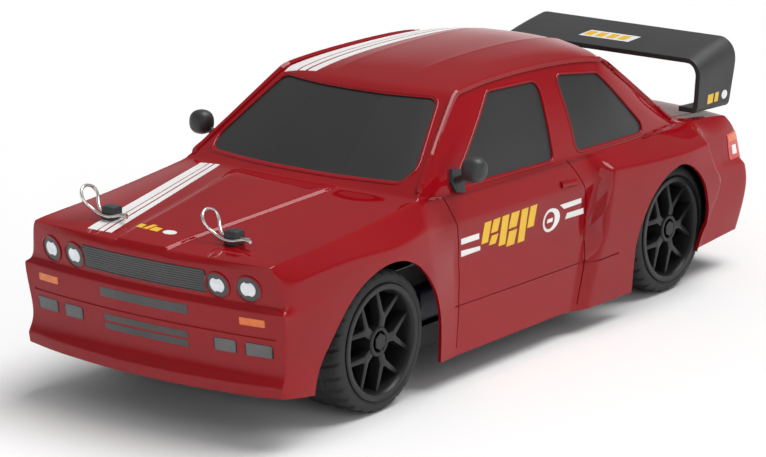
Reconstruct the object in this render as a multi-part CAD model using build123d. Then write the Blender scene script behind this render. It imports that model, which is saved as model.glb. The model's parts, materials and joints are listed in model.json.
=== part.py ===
from build123d import *
import math
import os

# Radio-controlled drift car, about 1:16, rear-wheel drive, with a lift-off body shell.
# Millimetres. The nose points along -Y, the car's left side is +X, and +Z is up.
# The origin is on the ground, halfway between the axles.

# ---------------------------------------------------------------- driving dimensions
TYRE_R = 24.0          # tyre radius: 48 mm tyres
AXLE_Y = 90.0          # half of the 180 mm wheelbase
AXLE_Z = TYRE_R
WHEEL_OUT = 53.8       # outer face of the rims, from the centre line
WHEEL_IN = 31.5        # inner face of the tyres

FLOOR_LOW = 6.0        # underside of the chassis plate: the ground clearance
FLOOR_TOP = 9.0
FLOOR_T = FLOOR_TOP - FLOOR_LOW
NOSE_TOP = 20.0        # the front of the chassis steps up to this shelf, clear of kerbs

FRONT_HINGE_X = 10.0   # front arms hinge here, low down
FRONT_HINGE_Z = 12.0
KINGPIN_X = 28.0
STEER_ARM = 15.0       # length of every steering arm, so that the linkage stays a parallelogram
HORN_Y = -82.0         # pivots of the servo horn and of the idler arm
REAR_HINGE_X = 16.0    # rear arms hinge about the middle of the drive cups

PIN_R = 1.0            # hinge pins
RUN = 0.05             # radial running clearance of pins and shafts
AXLE_R = 2.0
TIE_ROD_EYE_R = 1.9    # loose, so that the rod can tilt with the arm
TIE_ROD_R = 1.0
LINK_LOW = 13.7        # underside of the centre link, clear of the tilted tie rods
ROD_R = 1.2            # damper rods

GEAR_MODULE = 0.6
SPOOL_TEETH = 38
IDLER_TEETH = 36
PINION_TEETH = 14
GEAR_WIDTH = 5.0
BACKLASH = 0.16

SHELL_T = 1.2          # wall of the body shell
POST_R = 2.5           # body posts
FRONT_POST = (25.6, -132.0)
REAR_POST = (22.0, 115.5)
POST_HOLE_R = 2.9

SIDES = {"left": 1, "right": -1}
ENDS = {"front": -1, "rear": 1}

os.makedirs("parts", exist_ok=True)


# ---------------------------------------------------------------- small helpers
def save(name, *solids):
    """Write one named sub-part, as one solid or as a group of separate solids."""
    found = []
    for item in solids:
        found += item.solids()
    shape = found[0] if len(found) == 1 else Compound(children=found)
    export_step(shape, f"parts/{name}.step")


def block(x0, x1, y0, y1, z0, z1):
    """A box between two corners."""
    middle = ((x0 + x1) / 2, (y0 + y1) / 2, (z0 + z1) / 2)
    return Pos(*middle) * Box(abs(x1 - x0), abs(y1 - y0), abs(z1 - z0))


def rod_x(radius, x0, x1, y, z):
    """A cylinder along X."""
    return Pos((x0 + x1) / 2, y, z) * Rot(0, 90, 0) * Cylinder(radius, abs(x1 - x0))


def rod_y(radius, y0, y1, x, z):
    """A cylinder along Y."""
    return Pos(x, (y0 + y1) / 2, z) * Rot(90, 0, 0) * Cylinder(radius, abs(y1 - y0))


def rod_z(radius, z0, z1, x, y):
    """A cylinder along Z."""
    return Pos(x, y, (z0 + z1) / 2) * Cylinder(radius, abs(z1 - z0))


def bar(start, end, radius):
    """A round bar between two points."""
    a, b = Vector(*start), Vector(*end)
    return Solid.extrude(Face(Wire.make_circle(radius, Plane(a, z_dir=b - a))), b - a)


def plate_z(points, z0, z1):
    """A flat plate with an outline in X and Y."""
    face = Face(Wire.make_polygon([Vector(x, y, z0) for x, y in points]))
    return Solid.extrude(face, Vector(0, 0, z1 - z0))


def plate_x(points, x0, x1):
    """A flat plate with an outline in Y and Z."""
    face = Face(Wire.make_polygon([Vector(x0, y, z) for y, z in points]))
    return Solid.extrude(face, Vector(x1 - x0, 0, 0))


def plate_y(points, y0, y1):
    """A flat plate with an outline in X and Z."""
    face = Face(Wire.make_polygon([Vector(x, y0, z) for x, z in points]))
    return Solid.extrude(face, Vector(0, y1 - y0, 0))


def both(solid):
    """The solid and its mirror image on the other side of the car."""
    return [solid, mirror(solid, about=Plane.YZ)]


def on_side(solid, side):
    """A solid drawn for the left side, put on the left or the right side."""
    return solid if side > 0 else mirror(solid, about=Plane.YZ)


# ---------------------------------------------------------------- body shell: its lines
# The shell is drawn as a net of one half. A top strip runs along the centre line, from the
# lip over the nose, bonnet, windscreen, roof, rear window and boot to the rear bumper. Its
# outer edge is shared with the side of the body and with the side of the cabin.
# Each row is (y, z) on the centre line and (x, y, z) at the edge.
NOSE_ROWS = [
    ((-146.5, 17.5), (52.3, -140.6, 18.0)),
    ((-147.4, 23.5), (52.6, -141.6, 23.5)),
    ((-147.0, 30.0), (53.2, -141.9, 30.0)),
    ((-147.1, 38.0), (53.8, -142.3, 38.0)),
    ((-147.6, 45.0), (54.2, -142.6, 45.1)),
    ((-147.6, 47.6), (51.6, -141.6, 47.2)),
    ((-149.5, 57.0), (50.4, -142.8, 56.8)),
]
BONNET_ROWS = [
    ((-146.0, 60.6), (48.9, -143.4, 60.1)),
    ((-140.0, 61.6), (49.0, -138.0, 60.6)),
    ((-125.0, 62.9), (49.2, -124.0, 61.2)),
    ((-107.0, 64.4), (49.3, -107.0, 62.0)),
    ((-90.0, 66.0), (49.5, -86.0, 63.7)),
    ((-76.0, 67.3), (49.6, -70.0, 65.2)),
]
CABIN_ROWS = [
    ((-71.5, 67.8), (49.7, -64.5, 66.0)),
    ((-66.5, 70.6), (46.8, -59.8, 70.0)),
    ((-50.0, 82.4), (41.8, -44.0, 81.0)),
    ((-35.5, 92.2), (37.2, -28.5, 91.8)),
    ((-29.0, 95.0), (36.6, -23.0, 93.5)),
    ((-10.0, 97.2), (36.2, -8.0, 94.4)),
    ((15.0, 98.2), (36.4, 15.0, 94.4)),
    ((38.0, 98.0), (37.4, 36.0, 93.6)),
    ((54.0, 97.0), (38.8, 51.0, 92.3)),
    ((66.0, 95.3), (39.3, 57.0, 91.5)),
    ((75.5, 92.4), (39.8, 62.0, 90.0)),
    ((92.0, 77.4), (41.5, 82.0, 76.2)),
    ((107.0, 63.2), (43.8, 100.0, 63.4)),
    ((111.0, 60.9), (45.3, 106.0, 59.8)),
]
BOOT_ROWS = [
    ((120.0, 60.2), (46.0, 120.0, 58.8)),
    ((134.0, 59.0), (46.1, 133.0, 57.4)),
    ((141.5, 57.6), (46.4, 138.6, 56.4)),
]
TAIL_ROWS = [
    ((145.0, 52.0), (48.0, 143.0, 51.2)),
    ((145.4, 45.0), (50.0, 143.6, 44.0)),
    ((145.6, 40.0), (51.4, 143.2, 40.0)),
    ((148.4, 38.4), (52.4, 144.7, 37.2)),
    ((149.5, 33.0), (52.8, 145.0, 31.0)),
    ((148.6, 23.0), (52.4, 143.2, 22.0)),
    ((146.0, 13.5), (51.8, 139.4, 13.1)),
]
STRIP_STEPS = (0.0, 0.25, 0.5, 0.72, 0.88, 1.0)

# The side of the body has eight levels, from its top edge down to the skirt. Each level
# says how far out (x) and how high (z) it is at a few places (y) along the car.
LEVEL_X = [
    None,
    [(-138, 53.0), (-115, 55.6), (-84, 55.8), (-68, 54.4), (-50, 53.4), (34, 53.4), (42, 57.6),
     (74, 59.4), (98, 58.6), (114, 54.0), (132, 50.4)],
    [(-138, 53.8), (-118, 57.0), (-84, 57.2), (-66, 55.2), (-50, 54.0), (31, 54.0), (40, 58.6),
     (74, 60.4), (98, 59.8), (115, 54.6), (132, 51.4)],
    [(-138, 54.6), (-118, 57.2), (-84, 57.4), (-64, 55.4), (-50, 54.2), (29, 54.2), (38, 58.8),
     (74, 60.5), (98, 60.0), (115, 54.8), (132, 52.2)],
    [(-138, 54.8), (-118, 57.0), (-84, 57.4), (-62, 55.6), (-50, 54.4), (27, 54.4), (36, 58.8),
     (74, 60.5), (98, 60.0), (115, 54.8), (132, 52.8)],
    [(-138, 54.4), (-118, 56.6), (-84, 57.2), (-61, 55.6), (-50, 54.5), (24, 54.5), (33, 58.6),
     (74, 60.2), (98, 59.6), (115, 54.8), (132, 53.2)],
    [(-138, 54.0), (-118, 56.0), (-84, 56.8), (-60, 55.6), (-50, 54.6), (21, 54.6), (30, 58.2),
     (74, 59.8), (98, 59.0), (115, 54.6), (132, 53.2)],
    [(-138, 55.0), (-118, 55.8), (-84, 56.4), (-59, 55.4), (-50, 54.0), (16, 54.0), (24, 57.2),
     (74, 58.8), (98, 58.0), (115, 54.2), (132, 52.8)],
]
LEVEL_Z = [
    None,
    [(-138, 54.6), (-115, 57.2), (-84, 55.6), (-68, 57.0), (-50, 55.2), (34, 52.6), (42, 56.0),
     (74, 54.6), (98, 53.8), (114, 53.8), (132, 52.0)],
    [(-138, 48.0), (-115, 51.6), (-84, 51.6), (-50, 48.6), (34, 46.6), (50, 50.4), (98, 50.4),
     (132, 45.4)],
    [(-138, 45.0), (-115, 46.0), (-84, 46.0), (-50, 42.0), (34, 38.9), (50, 44.0), (98, 44.0),
     (132, 40.6)],
    [(-138, 38.0), (-50, 36.0), (34, 34.0), (98, 38.0), (132, 38.2)],
    [(-138, 30.0), (34, 29.6), (132, 30.6)],
    [(-138, 23.5), (-50, 25.4), (34, 24.6), (132, 22.0)],
    [(-138, 17.6), (-124, 15.6), (-60, 10.2), (14, 9.4), (59, 8.4), (104, 11.0), (132, 13.0)],
]
BELT_Z = [(-64.5, 66.0), (-46.7, 64.4), (24.8, 62.8), (106.0, 59.8)]
BELT_X = [(-64.5, 49.7), (-46.7, 50.2), (24.8, 50.4), (60.0, 50.6), (90.0, 48.4), (106.0, 45.3)]
BELT_STATIONS = (-58, -53, -48, -30, -8, 12, 24, 31, 36, 42, 52, 64, 76, 88, 98)
# The front edge of the rear flare runs forwards as it goes down: the stations beside it
# lean with it. One shift for each level.
FLARE_LEAN = (5.0, 4.0, 2.0, 0.0, -2.5, -5.0, -8.0, -12.0)
FLARE_Y = 34.0
FLARE_REACH = 24.0

# Wheel arches, as circles seen from the side: (y, z, radius).
ARCHES = [(-91.5, 18.5, 33.0), (87.5, 20.5, 30.0)]

# Windows: the screens as outlines in x and z, the side windows in y and z.
WINDSCREEN = [(43.0, 71.4), (32.8, 90.4)]
REAR_SCREEN = [(36.0, 66.0), (33.4, 88.6)]
DOOR_WINDOW = [(-35.0, 65.8), (24.0, 64.6), (20.6, 90.6), (-10.0, 91.2)]
QUARTER_WINDOW = [(43.5, 64.4), (85.0, 64.4), (61.0, 87.0), (34.5, 90.4)]
SEAL_GAP = 0.25        # between a window and the edge of its opening

# Rear wing: top edges of its plane, and its end plates and feet, seen from the side (y, z).
WING_T = 1.9
WING_HALF = 46.0
WING_FOOT_INNER = 37.5
WING_EDGES = [(121.0, 80.9), (145.6, 85.4)]
WING_END = [(117.0, 59.3), (136.0, 57.7), (142.4, 60.3), (144.0, 67.0), (145.9, 76.0),
            (145.6, 85.4), (121.0, 80.9), (119.8, 77.0), (119.6, 70.0), (118.6, 63.0)]
WING_FOOT = [(117.0, 59.3), (136.0, 57.7), (136.0, 60.2), (118.0, 61.6)]


def at(keys, y):
    """Read a value between hand-set places along the car, on straight lines."""
    if y <= keys[0][0]:
        return keys[0][1]
    for (y0, v0), (y1, v1) in zip(keys, keys[1:]):
        if y <= y1:
            return v0 + (v1 - v0) * (y - y0) / (y1 - y0)
    return keys[-1][1]


def strip_row(row):
    """Points of one row of the top strip, from the centre line to the edge."""
    (yc, zc), (xe, ye, ze) = row
    return [(xe * u, yc + (ye - yc) * u ** 2.2, zc + (ze - zc) * u ** 3.0) for u in STRIP_STEPS]


def side_column(top):
    """One column of the body side: eight points from a point of the top edge to the skirt."""
    station = top[1]
    weight = max(0.0, 1 - abs(station - FLARE_Y) / FLARE_REACH)
    column = [top]
    for level in range(1, 8):
        x, z = at(LEVEL_X[level], station), at(LEVEL_Z[level], station)
        column.append((x, station + weight * FLARE_LEAN[level], z))
    return column


def side_columns():
    """All columns of the body side, from the corner of the nose to the corner of the tail."""
    nose = [row[1] for row in BONNET_ROWS[:1] + NOSE_ROWS[::-1]]
    tail = [row[1] for row in BOOT_ROWS[-1:] + TAIL_ROWS]
    bonnet = [row[1] for row in BONNET_ROWS[1:] + CABIN_ROWS[:1]]
    boot = [row[1] for row in CABIN_ROWS[-1:] + BOOT_ROWS[:-1]]
    tops = bonnet + belt_points()[1:-1] + boot
    return [nose] + [side_column(top) for top in tops] + [tail]


def belt_points():
    """The line where the cabin stands on the body, from the screen pillar to the boot."""
    middle = [(at(BELT_X, y), float(y), at(BELT_Z, y)) for y in BELT_STATIONS]
    return [CABIN_ROWS[0][1]] + middle + [CABIN_ROWS[-1][1]]


def triangles_between(low, high):
    """Join two rows of points with triangles, whichever number of points each has."""
    out, i, j = [], 0, 0
    while i < len(low) - 1 or j < len(high) - 1:
        step_low = j == len(high) - 1
        if i < len(low) - 1 and j < len(high) - 1:
            step_low = low[i + 1][1] - low[0][1] < high[j + 1][1] - low[0][1]
        if step_low:
            out.append((low[i], low[i + 1], high[j]))
            i += 1
        else:
            out.append((low[i], high[j + 1], high[j]))
            j += 1
    return [t for t in out if len({key(p) for p in t}) == 3]


def triangles_grid(rows):
    """Triangles over a grid of points, wound the same way throughout."""
    out = []
    for a, b in zip(rows, rows[1:]):
        for k in range(len(a) - 1):
            out += [(a[k], a[k + 1], b[k + 1]), (a[k], b[k + 1], b[k])]
    return [t for t in out if len({key(p) for p in t}) == 3]


def key(point):
    """A point, rounded so that shared points are found again."""
    return tuple(round(v, 4) + 0.0 for v in point)


def half_skin():
    """Outward-facing triangles of the left half of the body."""
    rows = [strip_row(row) for row in NOSE_ROWS + BONNET_ROWS + CABIN_ROWS + BOOT_ROWS + TAIL_ROWS]
    pillars = [row[1] for row in CABIN_ROWS]
    cabin = triangles_between(belt_points(), pillars)
    return triangles_grid(rows) + triangles_grid(side_columns()) + cabin


def whole_skin():
    """Triangles of both halves of the body, all facing outwards."""
    half = [tuple(key(p) for p in t) for t in half_skin()]
    other = [tuple((-p[0] + 0.0, p[1], p[2]) for p in (a, c, b)) for a, b, c in half]
    return half + other


def inner_points(skin):
    """Every point of the skin, moved inwards by the wall along its mean normal."""
    normals = {}
    for a, b, c in skin:
        face_normal = (Vector(*b) - Vector(*a)).cross(Vector(*c) - Vector(*a)).normalized()
        for p, q, r in ((a, b, c), (b, c, a), (c, a, b)):
            angle = math.radians((Vector(*q) - Vector(*p)).get_angle(Vector(*r) - Vector(*p)))
            normals.setdefault(p, []).append((face_normal, angle))
    moved = {}
    for p, parts in normals.items():
        total = Vector(0, 0, 0)
        for normal, angle in parts:
            total += normal * angle
        total = total.normalized()
        lowest = min(normal.dot(total) for normal, _ in parts)
        moved[p] = tuple(Vector(*p) - total * (SHELL_T / max(lowest, 0.72)))
    return moved


def shell_solid():
    """The body as one closed thin wall, open underneath."""
    skin = whole_skin()
    moved = inner_points(skin)
    edges = {}
    for a, b, c in skin:
        for e in ((a, b), (b, c), (c, a)):
            edges[e] = True
    rim = [(a, b) for a, b in edges if (b, a) not in edges]
    faces = []
    for a, b, c in skin:
        faces.append((a, b, c))
        faces.append((moved[a], moved[c], moved[b]))
    for a, b in rim:
        faces += [(b, a, moved[a]), (b, moved[a], moved[b])]
    made = [Face(Wire.make_polygon([Vector(*p) for p in t], close=True)) for t in faces]
    return Solid(Shell(made))


# ---------------------------------------------------------------- body shell and its trim
def window_prisms(shrink):
    """Solids that cut out the windows, or the panes themselves when they are shrunk."""
    (wx0, wz0), (wx1, wz1) = WINDSCREEN
    (rx0, rz0), (rx1, rz1) = REAR_SCREEN
    s = shrink
    front = plate_y([(-wx0 + s, wz0 + s), (wx0 - s, wz0 + s), (wx1 - s, wz1 - s),
                     (-wx1 + s, wz1 - s)], -80, -22)
    back = plate_y([(-rx0 + s, rz0 + s), (rx0 - s, rz0 + s), (rx1 - s, rz1 - s),
                    (-rx1 + s, rz1 - s)], 60, 112)
    prisms = [front, back]
    for outline in (DOOR_WINDOW, QUARTER_WINDOW):
        cy = sum(p[0] for p in outline) / 4
        cz = sum(p[1] for p in outline) / 4
        inset = [(y - math.copysign(s, y - cy), z - math.copysign(s, z - cz)) for y, z in outline]
        prisms += both(plate_x(inset, 30, 56))
    return prisms


HEADLIGHTS = [(41.0, -149.0, 52.2), (29.7, -151.0, 52.1)]   # x, front limit in y, z
HEADLIGHT_R = 4.3
GRILLE = (25.0, 49.3, 56.6)            # half width, lowest and highest
TAIL_LIGHT = (134.5, 144.0, 40.6, 50.6)  # y and z range on the side of the tail


def make_body():
    whole = shell_solid()
    shell = whole
    for y, z, r in ARCHES:
        shell -= rod_x(r, -80, 80, y, z)
    for x, y in (FRONT_POST, REAR_POST):
        for post in both(rod_z(POST_HOLE_R, 50, 75, x, y)):
            shell -= post
    for prism in window_prisms(0.0):
        shell -= prism
    panes = [part for prism in window_prisms(SEAL_GAP) for part in (whole & prism).solids()]
    pods = [p for x, y, z in HEADLIGHTS for p in both(rod_y(HEADLIGHT_R, -142, y, x, z))]
    half, low, high = GRILLE
    nose = block(-half, half, -151, -143, low, high)
    lamps = both(block(49.0, 56, *TAIL_LIGHT))
    for cutter in pods + [nose] + lamps:
        shell -= cutter
    keep = max(shell.solids(), key=lambda s: s.volume)
    save("body_shell", keep)
    save("window_glazing", *panes)
    save("headlights", *[make_headlight(x, z, side) for x, _, z in HEADLIGHTS for side in (1, -1)])
    save("grille_insert", make_grille())
    lens = [part for cutter in both(block(49.2, 56, 134.7, 143.8, 40.8, 50.4))
            for part in (whole & cutter).solids()]
    save("tail_lights", *lens)


def make_headlight(x, z, side):
    """A round lamp: a bowl with a domed lens in it, as one moulded piece."""
    face_y = -146.0 if x > 35 else -147.6
    bowl = rod_y(HEADLIGHT_R - 0.2, face_y, face_y + 4.6, side * x, z)
    bowl -= rod_y(3.5, face_y, face_y + 0.9, side * x, z)
    lens = Pos(side * x, face_y + 1.2, z) * Sphere(2.8)
    lens &= block(side * x - 4, side * x + 4, face_y - 2, face_y + 2, z - 4, z + 4)
    return bowl + lens


def make_grille():
    half, low, high = GRILLE
    half, low, high = half - 0.2, low + 0.2, high - 0.2
    frame = block(-half, half, -148.0, -144.2, low, high)
    frame -= block(-half + 1, half - 1, -149, -145.6, low + 0.8, high - 0.8)
    slats = 7
    for i in range(slats):
        z = low + 0.8 + (high - low - 1.6) * (i + 0.5) / slats
        frame += block(-half + 0.9, half - 0.9, -147.6, -145.4, z - 0.2, z + 0.2)
    return frame


def make_wing():
    """A tray-shaped wing: one plane that turns down into two end plates with feet."""
    (front_y, front_z), (back_y, back_z) = WING_EDGES
    plane = plate_x([(front_y, front_z - WING_T), (back_y, back_z - WING_T),
                     (back_y, back_z), (front_y, front_z)], -WING_HALF, WING_HALF)
    wing = plane
    for end in both(plate_x(WING_END, WING_HALF - WING_T, WING_HALF)):
        wing += end
    for foot in both(plate_x(WING_FOOT, WING_FOOT_INNER, WING_HALF)):
        wing += foot
    chord = math.hypot(back_y - front_y, back_z - front_z)
    corners = [e for e in wing.edges() if abs(abs(e.center().X) - WING_HALF) < 0.1
               and abs(e.length - chord) < 0.2 and e.center().Z > front_z]
    wing = wing.fillet(WING_T * 0.85, corners) if corners else wing
    save("rear_wing", wing)


def make_mirrors():
    solids = []
    for side in (1, -1):
        head = Pos(side * 58.4, -45.4, 73.0) * Sphere(4.8)
        arm = bar((side * 50.2, -49.4, 67.4), (side * 57.0, -46.2, 71.0), 1.5)
        foot = block(side * 49.6, side * 51.4, -53.0, -46.5, 66.2, 69.4)
        solids.append(head + arm + foot)
    save("door_mirrors", *solids)


def make_posts_and_clips():
    front = []
    for side in (1, -1):
        x, y = side * FRONT_POST[0], FRONT_POST[1]
        post = rod_z(POST_R, NOSE_TOP, 66.0, x, y)
        front.append(post - rod_x(0.65, x - 4, x + 4, y, 64.6))
    rear = []
    for side in (1, -1):
        x, y = side * REAR_POST[0], REAR_POST[1]
        post = rod_z(POST_R, FLOOR_TOP, 64.8, x, y)
        rear.append(post - rod_x(0.65, x - 4, x + 4, y, 63.4))
    save("front_body_posts", *front)
    save("rear_body_posts", *rear)
    clips = [make_clip(side * FRONT_POST[0], FRONT_POST[1], 64.6, -1) for side in (1, -1)]
    clips += [make_clip(side * REAR_POST[0], REAR_POST[1], 63.4, -1) for side in (1, -1)]
    save("body_clips", *clips)


def make_clip(x, y, z, way):
    """A wire body clip: a straight leg through the post and a bent leg over it."""
    wire = 0.55
    ends = [(x - way * 5.0, y, z), (x + way * 8.0, y, z), (x + way * 17.0, y + 2.0, z + 3.4),
            (x + way * 20.5, y + 1.0, z + 4.4), (x + way * 17.0, y - 1.6, z + 4.2),
            (x + way * 6.0, y, z + 2.6), (x + way * 2.0, y, z + 2.1), (x - way * 3.0, y, z + 2.1)]
    clip = bar(ends[0], ends[1], wire)
    for a, b in zip(ends[1:], ends[2:]):
        clip += Pos(*a) * Sphere(wire)
        clip += bar(a, b, wire)
    return clip


# ---------------------------------------------------------------- chassis and fixed parts
def make_chassis():
    half = [(17, -110), (17, -55), (34, -48), (34, 60), (26, 68), (26, 124), (18, 132)]
    outline = half + [(-x, y) for x, y in reversed(half)]
    tub = plate_z(outline, FLOOR_LOW, FLOOR_TOP)
    for rail in both(block(32.2, 34, -46, 58, FLOOR_LOW, 14)):
        tub += rail
    tub += block(8, 9.4, -40, 34, FLOOR_LOW, 10.6)
    tub += block(-17, 17, -110, -107, FLOOR_LOW, NOSE_TOP)
    nose = [(17, -107), (17, -123), (31, -127), (31, -137)]
    tub += plate_z(nose + [(-x, y) for x, y in reversed(nose)], NOSE_TOP - FLOOR_T, NOSE_TOP)
    save("chassis_tub", tub)
    bumper = plate_z([(40, -138.6), (28, -141.5), (-28, -141.5), (-40, -138.6), (-36, -137.0),
                      (36, -137.0)], 19, 33)
    save("front_bumper_foam", bumper)


def make_front_bulkhead():
    top = block(-17, 17, -90, -61, 19.5, 22)
    core = block(-4.5, 4.5, -103.6, -77.8, FLOOR_TOP, 20)
    mount = core + top
    x, z = FRONT_HINGE_X, FRONT_HINGE_Z
    for side in (1, -1):
        for y0, y1 in ((-103.6, -100.7), (-80.7, -77.8)):
            lug = block(4, x, y0, y1, FLOOR_TOP, 15) + rod_y(3, y0, y1, x, z)
            mount += on_side(lug, side)
        mount -= rod_y(PIN_R, -104, -77, side * x, z)
        mount -= rod_z(2.0 + RUN if side > 0 else 1.5 + RUN, 18, 23, side * x, HORN_Y)
    save("front_bulkhead", mount)
    tower = plate_y([(-15, FLOOR_TOP), (15, FLOOR_TOP), (21.6, 34), (21.8, 50), (16, 50), (13, 40),
                     (-13, 40), (-16, 50), (-21.8, 50), (-21.6, 34)], -106.6, -103.7)
    save("front_shock_tower", tower)


def make_rear_case():
    half = GEAR_WIDTH / 2 + 1.7
    side_outline = [(44, FLOOR_TOP), (100.7, FLOOR_TOP), (100.7, 38), (60, 42), (48, 40), (44, 34)]
    case = plate_x(side_outline, half, half + 2) + plate_x(side_outline, -half - 2, -half)
    case += block(-half - 2, half + 2, 41.5, 44, FLOOR_TOP, 34)
    for y0, y1 in ((76.4, 79.3), (100.7, 103.6)):
        wall = plate_y([(-20, FLOOR_TOP), (20, FLOOR_TOP), (20, 28), (-20, 28)], y0, y1)
        if y0 < AXLE_Y:
            wall -= block(-half, half, y0 - 1, y1 + 1, FLOOR_TOP, 30)
        else:
            wall -= rod_x(12.6, -half, half, AXLE_Y, AXLE_Z)
        case += wall
    for side in (1, -1):
        case -= rod_y(PIN_R, 70, 110, side * REAR_HINGE_X, AXLE_Z)
    case -= rod_x(3 + RUN, -10, 10, AXLE_Y, AXLE_Z)
    y, z = IDLER_AT
    case -= rod_x(1.5 + RUN, -10, 10, y, z)
    y, z = PINION_AT
    case -= rod_x(3.2, -10, 0, y, z)
    save("gearbox_case", case)
    tower = plate_y([(-22, FLOOR_TOP), (22, FLOOR_TOP), (30, 42), (30, 54), (22, 54), (16, 44),
                     (-16, 44), (-22, 54), (-30, 54), (-30, 42)], 103.7, 106.6)
    save("rear_shock_tower", tower)


def make_electrics():
    servo = block(4, 16, -87.5, -64, 22, 44)
    servo += block(4, 16, -90.2, -61.2, 36.5, 38.5)
    servo -= rod_z(2.0 + RUN, 21, 25.4, FRONT_HINGE_X, HORN_Y)
    save("steering_servo", servo.fillet(0.8, servo.edges().filter_by(Axis.Z)[:4]))
    pack = block(9.8, 31.6, -38, 33, 9.1, 27)
    pack = pack.fillet(3.0, pack.edges().filter_by(Axis.Y))
    save("battery_pack", pack)
    strap = block(9.5, 34, -6, 2, 27.3, 28.8) + block(31.9, 34, -6, 2, 14.1, 28)
    save("battery_strap", strap)
    box = block(-30, -4, -34, 6, 9.1, 24)
    box = box.fillet(1.5, box.edges().filter_by(Axis.Z))
    for i in range(9):
        x = -28.5 + 2.9 * i
        box += block(x, x + 1.1, -30, -8, 23.9, 28)
    box -= block(-21, -13, -1, 3.5, 21.8, 25)
    save("speed_controller", box)
    save("power_switch", block(-20.4, -17.2, -0.4, 2.9, 22.0, 26.0))
    y, z = PINION_AT
    face = -(GEAR_WIDTH / 2 + 1.7 + 2)
    can = rod_x(12.2, face - 24.6, face, y, z)
    can = can.fillet(1.2, can.edges())
    can += rod_x(3.0, face - 1, face + 1.2, y, z)
    can -= rod_x(1.15 + RUN, face - 10, face + 3, y, z)
    save("motor", can)


def make_fasteners():
    pins = []
    for side in (1, -1):
        pins.append(rod_y(PIN_R, -103.6, -77.8, side * FRONT_HINGE_X, FRONT_HINGE_Z))
        pins.append(rod_y(PIN_R, 76.4, 82.4, side * REAR_HINGE_X, AXLE_Z))
        pins.append(rod_y(PIN_R, 97.6, 103.6, side * REAR_HINGE_X, AXLE_Z))
    save("hinge_pins", *pins)
    screws = []
    for x in (-12, 12):
        for y, z in ((-118, NOSE_TOP), (122, FLOOR_TOP)):
            screws.append(rod_z(2.2, z, z + 1.4, x, y)
                          - extrude(Pos(x, y, z + 0.6) * RegularPolygon(1.1, 6), 1.0))
    save("chassis_screws", *screws)


# ---------------------------------------------------------------- steering
def make_steering():
    x, y = FRONT_HINGE_X, HORN_Y
    joint_y = y + STEER_ARM
    for name, side, shaft in (("servo_horn", 1, 2.0), ("idler_arm", -1, 1.5)):
        arm = rod_z(3.6, 16, 18.5, side * x, y) + rod_z(2.9, 16, 18.5, side * x, joint_y)
        arm += block(side * x - 2, side * x + 2, y, joint_y, 16, 18.5)
        arm += rod_z(shaft, 18, 25.0 if side > 0 else 21.8, side * x, y)
        arm -= rod_z(1.2 + RUN, 15, 19, side * x, joint_y)
        save(name, arm)
    link = block(-x, x, joint_y - 2, joint_y + 2, LINK_LOW, 15.7)
    for side in (1, -1):
        link += rod_z(2.9, LINK_LOW, 15.7, side * x, joint_y)
        link += rod_z(1.2, 10.4, 18.9, side * x, joint_y)
    save("centre_link", link)
    for name, side in SIDES.items():
        outer = (side * KINGPIN_X, -AXLE_Y + STEER_ARM, 12)
        inner = (side * x, joint_y, 12)
        rod = bar(inner, outer, TIE_ROD_R)
        rod += rod_z(2.9, 11.1, 12.9, inner[0], inner[1])
        rod += rod_z(2.6, 11.1, 12.9, outer[0], outer[1])
        rod -= rod_z(TIE_ROD_EYE_R, 10, 14, inner[0], inner[1])
        rod -= rod_z(1.2 + RUN, 10, 14, outer[0], outer[1])
        save(f"tie_rod_{name}", rod)


def make_front_suspension():
    hx, hz, kx = FRONT_HINGE_X, FRONT_HINGE_Z, KINGPIN_X
    for name, side in SIDES.items():
        arm = plate_z([(hx + 2, -101.4), (23, -101.4), (24.5, -94.6), (32.4, -94.6), (32.4, -85.4),
                       (24.5, -85.4), (22, -81.2), (hx + 2, -81.2)], 10.7, 13.3)
        arm -= block(hx + 1, 15.8, -97, -84.5, 10, 14)
        arm += rod_y(2.7, -100.5, -80.9, hx, hz)
        arm += block(hx, hx + 3, -100.5, -80.9, 10.9, 13.1)
        arm -= rod_y(PIN_R + RUN, -102, -80, hx, hz)
        arm -= block(hx - 4, hx + 3.6, -103, -100.5, 8, 16) + block(hx - 4, hx + 3.6, -80.9, -79, 8, 16)
        arm += block(20.4, 23.0, -94, -86, 11, 38.3)
        arm += block(20.4, 32.2, -94, -86, 35.7, 38.3)
        arm += rod_z(1.5, 13, 16.6, kx, -AXLE_Y) + rod_z(1.5, 32.4, 36, kx, -AXLE_Y)
        save(f"front_arm_{name}", on_side(arm, side))

        knuckle = rod_z(4.0, 13.8, 35.2, kx, -AXLE_Y)
        knuckle += rod_x(4.2, kx, kx + 6.5, -AXLE_Y, AXLE_Z)
        knuckle += block(kx - 2.2, kx + 2.2, -AXLE_Y, -AXLE_Y + STEER_ARM, 13.8, 16.0)
        knuckle += rod_z(2.4, 13.8, 16.0, kx, -AXLE_Y + STEER_ARM)
        knuckle += rod_z(1.2, 10.9, 14, kx, -AXLE_Y + STEER_ARM)
        for z0, z1 in ((13, 17), (32, 36)):
            knuckle -= rod_z(1.5 + RUN, z0, z1, kx, -AXLE_Y)
        knuckle -= rod_x(AXLE_R, kx - 1, 40, -AXLE_Y, AXLE_Z)
        save(f"knuckle_{name}", on_side(knuckle, side))

        axle = rod_x(AXLE_R, kx - 1, 52.4, -AXLE_Y, AXLE_Z)
        axle += make_nut(-AXLE_Y)
        save(f"front_axle_{name}", on_side(axle, side))


def make_nut(y):
    """Lock nut with its flange, on the end of an axle."""
    nut = Pos(50.5, y, AXLE_Z) * Rot(0, 90, 0) * extrude(RegularPolygon(3.0, 6), 2.4)
    return nut.fillet(0.3, nut.edges().group_by(Axis.X)[-1])


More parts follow.
